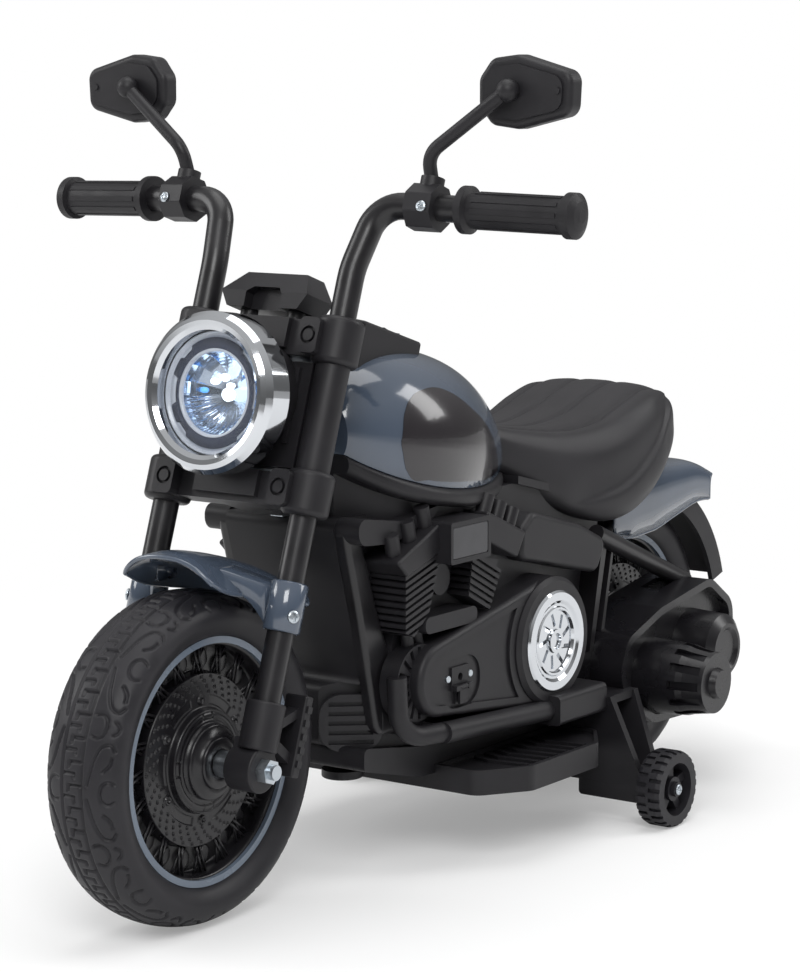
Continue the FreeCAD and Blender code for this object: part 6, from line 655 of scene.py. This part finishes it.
def bowlWave(radius, turn):
    if math.sin(turn) < lamp["fluteBelow"]:
        wave = 0.5 + 0.5 * math.cos(turn * lamp["flutes"])
        return -lamp["fluteDepth"] * wave * radius / lamp["bowlRadius"]
    wedge = 2 * math.pi / lamp["wedges"]
    across = (turn + wedge / 2) % wedge - wedge / 2
    return radius * (math.cos(wedge / 2) / math.cos(across) - 1)


# notches in the outer edge of the mask: a wide one on each side and four small ones on the diagonals
def maskNotch(radius, turn):
    if radius < lamp["maskOut"]:
        return 0.0
    deep = 0.0
    for quarters, width, depth in lamp["notches"]:
        gap = abs((turn - quarters * math.pi / 2 + math.pi) % (2 * math.pi) - math.pi)
        deep = max(deep, depth * float(fadeOut((width, width + lamp["notchEdge"]), gap)))
    return -deep


# small dome on a short stem, closed at both ends
def lampDome(name, spot, depth, mat):
    x, y, size = spot
    steps = lamp["domeSteps"]
    verts, faces = turnedForm([(size * r, depth + d) for r, d in lamp["dome"]], steps)
    faces += [tuple(range(steps)), tuple(range(len(verts) - steps, len(verts)))]
    lampPiece(name, [(vx + x, vy + y, vz) for vx, vy, vz in verts], faces, mat)


def headlamp():
    rings = [lamp["bowlLip"]]
    for k in range(lamp["bowlRows"] + 1):
        share = k / lamp["bowlRows"]
        rings.append((lamp["bowlRadius"] * math.cos(share * math.pi / 2) + lamp["bowlEnd"] * share,
                      lamp["bowlFrom"] - lamp["bowlDepth"] * math.sin(share * math.pi / 2)))
    verts, faces = turnedForm(rings, lamp["steps"], bowlWave)
    faces.append(tuple(range(len(verts) - lamp["steps"], len(verts))))
    bowl = lampPiece("lampBowl", verts, faces, bowlMat, smooth=False)
    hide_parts("headlight_reflector")
    lampPiece("lampMask", *turnedForm(lamp["maskRings"], lamp["maskSteps"], maskNotch), maskMat,
              slot="charcoal_plastic")
    lampPiece("lampBowlEdge", *turnedForm(lamp["edgeRings"], lamp["ringSteps"]), clearMat)
    lampPiece("lampStepRing", *turnedForm(lamp["stepRings"], lamp["ringSteps"]), clearMat)
    for k, chip in enumerate(lamp["chips"]):
        lampDome("lampChip%d" % k, chip, lamp["chipDepth"], glowMat)
    # the glowing blue dome is painted light on the bowl, not a lamp
    lampDome("lampBlue", lamp["blue"], lamp["blueDepth"], paintedBlueGlowMat)


headlamp()
print("headlamp made")

# printed panel on each side of the tank: a plain dark leaf laid on the surface, its edges as heights along y
tankPanel = {"fromY": -112.2, "toY": 32.0, "startX": 400.0, "stand": 0.35, "cols": 120, "rows": 60,
             "frontPull": 2.0,
             "highAt": (-112.2, -108.7, -103.7, -95.7, -80.7, -68.7, -49.7, -26.7, -1.7, 11.0, 25.0, 32.0),
             "high": (308.5, 322.0, 330.3, 336.5, 340.4, 340.7, 335.2, 322.0, 306.0, 294.3, 278.0, 270.8),
             "lowAt": (-112.2, -108.7, -103.7, -84.3, -59.7, -34.7, -4.7, 19.8, 32.0),
             "low": (305.5, 293.0, 285.0, 279.0, 275.3, 272.6, 269.6, 269.6, 270.2)}
panelMat = mouldedPlastic("vinyl print gloss charcoal", {
    "dark": "#211e21", "light": "#282528", "cloudMm": 60, "grainMm": 9, "grain": 0.01, "rough": (0.12, 0.18),
    "coat": 0.4, "coatRough": 0.05})


def tankSidePanel(side, name):
    t = tankPanel
    tree = nodeTree("fuel_tank")
    verts, index = [], {}
    # closer columns at the round front
    ys = t["fromY"] + (t["toY"] - t["fromY"]) * np.linspace(0, 1, t["cols"]) ** t["frontPull"]
    lows, highs = smoothTable(t["lowAt"], t["low"], ys), smoothTable(t["highAt"], t["high"], ys)
    for i, j in itertools.product(range(t["cols"]), range(t["rows"])):
        z = lows[i] + (highs[i] - lows[i]) * j / (t["rows"] - 1)
        start = Vector((side * t["startX"] * mm, ys[i] * mm, z * mm))
        hit, normal = tree.ray_cast(start, Vector((-side, 0, 0)))[:2]
        if hit is None:
            continue
        if normal.x * side < 0:
            normal = -normal
        index[i, j] = len(verts)
        verts.append(hit + normal * t["stand"] * mm)
    faces = []
    for i, j in itertools.product(range(t["cols"] - 1), range(t["rows"] - 1)):
        keys = ((i, j), (i + 1, j), (i + 1, j + 1), (i, j + 1))
        if all(k in index for k in keys):
            faces.append(tuple(index[k] for k in keys))
    meshPiece(name, verts, faces, panelMat, "chassis")


for side, word in hands:
    tankSidePanel(side, "tankPanel" + word)
print("tank panels made")

# cross-slot pan heads, seated where a straight line from outside meets the node that they hold
# places are (name, node, start of the line, its way, body, scale) for the left side
screw = {"radius": 3.6, "height": 2.0, "crown": 0.75, "slotWide": (0.55, 0.8), "slotLong": (2.3, 2.6),
         "slotDepth": 1.1, "rings": 22, "steps": 72, "sink": 0.3,
         "places": (
             ("sleeveScrew", "front_fender", (115.8, -255.9, 213.7), (-0.93, 0.36, -0.12), "steering", 1.15),
             ("mirrorClampScrew", "mirror_stems", (111.5, -196.7, 485.4), (-0.07, 0.94, -0.32),
              "steering", 1.0),
             ("trainingWheelScrew", "training_arms", (190.0, 130.8, 28.7), (-1.0, 0.0, 0.0), "chassis", 1.1))}


def screwHead(name, node, start, toward, body, scale):
    hit = nodeTree(node).ray_cast(Vector(start) * mm, Vector(toward))[0]
    turn = (-Vector(toward).normalized()).to_track_quat("Z", "Y").to_matrix()
    verts, steps = [], screw["steps"]
    for i in range(screw["rings"]):
        r = screw["radius"] * (i + 1) / screw["rings"]
        dome = screw["height"] * math.sqrt(max(0.0, 1 - screw["crown"] * (r / screw["radius"]) ** 2))
        for k in range(steps):
            angle = 2 * math.pi * k / steps
            x, y = r * math.cos(angle), r * math.sin(angle)
            across, along = min(abs(x), abs(y)), max(abs(x), abs(y))
            slot = fadeOut(screw["slotWide"], across) * fadeOut(screw["slotLong"], along)
            verts.append((x, y, dome - screw["slotDepth"] * slot))
    foot = [(x, y, -screw["sink"]) for x, y, z in verts[-steps:]]
    verts = [hit + turn @ (Vector(v) * scale * mm) for v in verts + foot]
    faces = gridFaces(screw["rings"] + 1, steps, wrapCols=True)
    faces += [tuple(range(steps)), tuple(range(len(verts) - steps, len(verts)))]
    meshPiece(name, verts, faces, zincSteel, body)


for (side, word), place in itertools.product(hands, screw["places"]):
    name, node, (x, y, z), (goX, goY, goZ), body, scale = place
    screwHead(name + word, node, (side * x, y, z), (side * goX, goY, goZ), body, scale)
print("screws made")


# outline with its corners rounded by short arcs
def roundedOutline(points, radius, steps=6, mostOfEdge=0.45):
    out = []
    for k, point in enumerate(points):
        here = Vector(point)
        toBefore, toAfter = Vector(points[k - 1]) - here, Vector(points[(k + 1) % len(points)]) - here
        reach = min(radius, toBefore.length * mostOfEdge, toAfter.length * mostOfEdge)
        a, b = here + toBefore.normalized() * reach, here + toAfter.normalized() * reach
        for i in range(steps + 1):
            t = i / steps
            out.append((1 - t) ** 2 * a + 2 * t * (1 - t) * here + t ** 2 * b)
    return out


# flat plate from an outline with a softened front edge: place(u, v, depth) gives millimetres on the object
def flatPlate(name, outline, thick, place, mat, body, wallShare=0.7, frontScale=0.985):
    count = len(outline)
    middle = sum(outline, Vector((0, 0))) / count
    soft = [middle + (p - middle) * frontScale for p in outline]
    layers = [(outline, 0.0), (outline, thick * wallShare), (soft, thick)]
    verts = [Vector(place(p[0], p[1], depth)) * mm for line, depth in layers for p in line]
    faces = gridFaces(len(layers), count, wrapCols=True)
    faces += [tuple(range(count)), tuple(range(2 * count, 3 * count))]
    meshPiece(name, verts, faces, mat, body, smooth=False)


mirror = {"inX": 136.0, "outX": 200.0, "lowZ": 523.0, "highZ": 563.0, "faceY": -108.5, "thick": 0.9,
          "corner": 9.0, "outline": ((0.14, 0.05), (0.42, 0.0), (0.98, 0.20), (1.0, 0.76), (0.42, 1.0),
                                     (0.14, 0.95), (0.0, 0.68), (0.0, 0.30))}
mirrorLine = roundedOutline([(mirror["inX"] + u * (mirror["outX"] - mirror["inX"]),
                              mirror["lowZ"] + v * (mirror["highZ"] - mirror["lowZ"]))
                             for u, v in mirror["outline"]], mirror["corner"])
for side, word in hands:
    flatPlate("mirrorGlass" + word, mirrorLine, mirror["thick"],
              lambda u, v, d: (side * u, mirror["faceY"] + d, v),
              mirrorGlass, "mirror_" + word.lower())

# bare satin plate on the face of each air cleaner
filterPlate = {"outline": ((-82.0, 225.2), (-39.4, 225.2), (-39.4, 246.8), (-82.0, 246.8)), "faceX": 87.0,
               "thick": 0.8, "corner": 2.0}
plateAbs = mouldedPlastic("ABS moulded satin plate grey", {
    "dark": "#37373a", "light": "#424245", "cloudMm": 18, "grainMm": 1.0, "grain": 0.06,
    "rough": (0.34, 0.44), "shine": 0.4})
plateLine = roundedOutline(filterPlate["outline"], filterPlate["corner"])
for side, word in hands:
    flatPlate("filterPlate" + word, plateLine, filterPlate["thick"],
              lambda u, v, d: (side * (filterPlate["faceX"] + d), u, v),
              plateAbs, "chassis")
print("mirror glass and plates made")

# pale floor that turns to plain white away from the object, soft studio light and the photograph's camera
# softboxes are (name, place, target, width, height, watts), in metres
studio = {"floorHalf": 40.0, "fadeFrom": 0.55, "fadeTo": 1.15, "whiteNear": 0.30,
          "skyFrom": 0.05, "skyTo": 0.85, "skyLow": 0.16, "skyHigh": 0.62,
          "softboxes": (("keyBox", (1.4, -2.2, 2.2), (0, -0.1, 0.25), 1.3, 1.3, 46),
                        ("fillBox", (-2.4, -1.4, 1.5), (0, 0, 0.25), 1.2, 1.6, 30),
                        ("backBox", (1.8, 1.9, 1.8), (0, 0, 0.25), 1.0, 1.6, 26),
                        ("topBox", (0, 0.1, 2.6), (0, 0, 0.2), 1.8, 1.8, 24))}
view = {"from": (1.2113, -1.7256, 0.5660), "to": (0.0464, -0.0866, 0.2732), "lens": 109.44, "sensor": 36.0,
        "far": 200}


# one for a ray from the camera, straight or through glass, and nought for light that falls on the object
def seenByCamera(tree):
    path = addNode(tree, "ShaderNodeLightPath")
    return addNode(tree, "ShaderNodeMath", {"operation": "MAXIMUM"}, {
        0: path.outputs["Is Camera Ray"], 1: path.outputs["Is Transmission Ray"]}).outputs[0]


# an object of the stage, turned so that its front faces the target
def aimed(name, data, place, target):
    obj = bpy.data.objects.new(name, data)
    obj.location = place
    obj.rotation_euler = (Vector(target) - Vector(place)).to_track_quat("-Z", "Y").to_euler()
    bpy.context.scene.collection.objects.link(obj)
    return obj


half = studio["floorHalf"]
floorMesh = bpy.data.meshes.new("studioFloor")
corners = [(-half, -half, 0), (half, -half, 0), (half, half, 0), (-half, half, 0)]
floorMesh.from_pydata(corners, [], [(0, 1, 2, 3)])
floor = bpy.data.objects.new("studioFloor", floorMesh)
bpy.context.scene.collection.objects.link(floor)
floorMat, floorTree, floorBsdf, floorPlace = newMaterial("paper sweep, white", {
    "Base Color": srgb("#f4f4f4"), "Roughness": 0.9})
away = addNode(floorTree, "ShaderNodeVectorMath", {"operation": "LENGTH"}, {0: floorPlace})
white = addNode(floorTree, "ShaderNodeMapRange", {"interpolation_type": "SMOOTHSTEP"}, {
    "Value": away.outputs["Value"], "From Min": studio["fadeFrom"], "From Max": studio["fadeTo"],
    "To Min": studio["whiteNear"], "To Max": 1.0})
share = addNode(floorTree, "ShaderNodeMath", {"operation": "MULTIPLY"}, {
    0: seenByCamera(floorTree), 1: white.outputs["Result"]})
plain = addNode(floorTree, "ShaderNodeEmission", inputs={"Color": (1, 1, 1, 1), "Strength": 1.0})
floorMix = addNode(floorTree, "ShaderNodeMixShader", inputs={
    0: share.outputs[0], 1: floorBsdf.outputs["BSDF"], 2: plain.outputs["Emission"]})
floorTree.links.new(floorMix.outputs["Shader"], floorTree.nodes["Material Output"].inputs["Surface"])
floorMesh.materials.append(floorMat)

# white to the camera and through glass; to the object a studio room, bright overhead and dim at the sides
world = bpy.data.worlds.new("studio")
bpy.context.scene.world = world
world.use_nodes = True
worldTree = world.node_tree
worldTree.nodes.clear()
direction = addNode(worldTree, "ShaderNodeTexCoord").outputs["Generated"]
toward = addNode(worldTree, "ShaderNodeSeparateXYZ", inputs={"Vector": direction})
room = addNode(worldTree, "ShaderNodeMapRange", {"interpolation_type": "SMOOTHSTEP"}, {
    "Value": toward.outputs["Z"], "From Min": studio["skyFrom"], "From Max": studio["skyTo"],
    "To Min": studio["skyLow"], "To Max": studio["skyHigh"]})
level = addNode(worldTree, "ShaderNodeMapRange", inputs={
    "Value": seenByCamera(worldTree), "To Min": room.outputs["Result"], "To Max": 1.0})
sky = addNode(worldTree, "ShaderNodeBackground", inputs={
    "Color": (1, 1, 1, 1), "Strength": level.outputs["Result"]})
addNode(worldTree, "ShaderNodeOutputWorld", inputs={"Surface": sky.outputs["Background"]})

for name, place, target, width, height, watts in studio["softboxes"]:
    light = bpy.data.lights.new(name, "AREA")
    light.shape, light.size, light.size_y, light.energy = "RECTANGLE", width, height, watts
    aimed(name, light, place, target)

cameraData = bpy.data.cameras.new("photoCamera")
cameraData.lens, cameraData.sensor_width, cameraData.sensor_fit = view["lens"], view["sensor"], "AUTO"
cameraData.clip_end = view["far"]
bpy.context.scene.camera = aimed("photoCamera", cameraData, view["from"], view["to"])
bpy.context.scene.view_settings.view_transform = "Standard"
print("stage set")
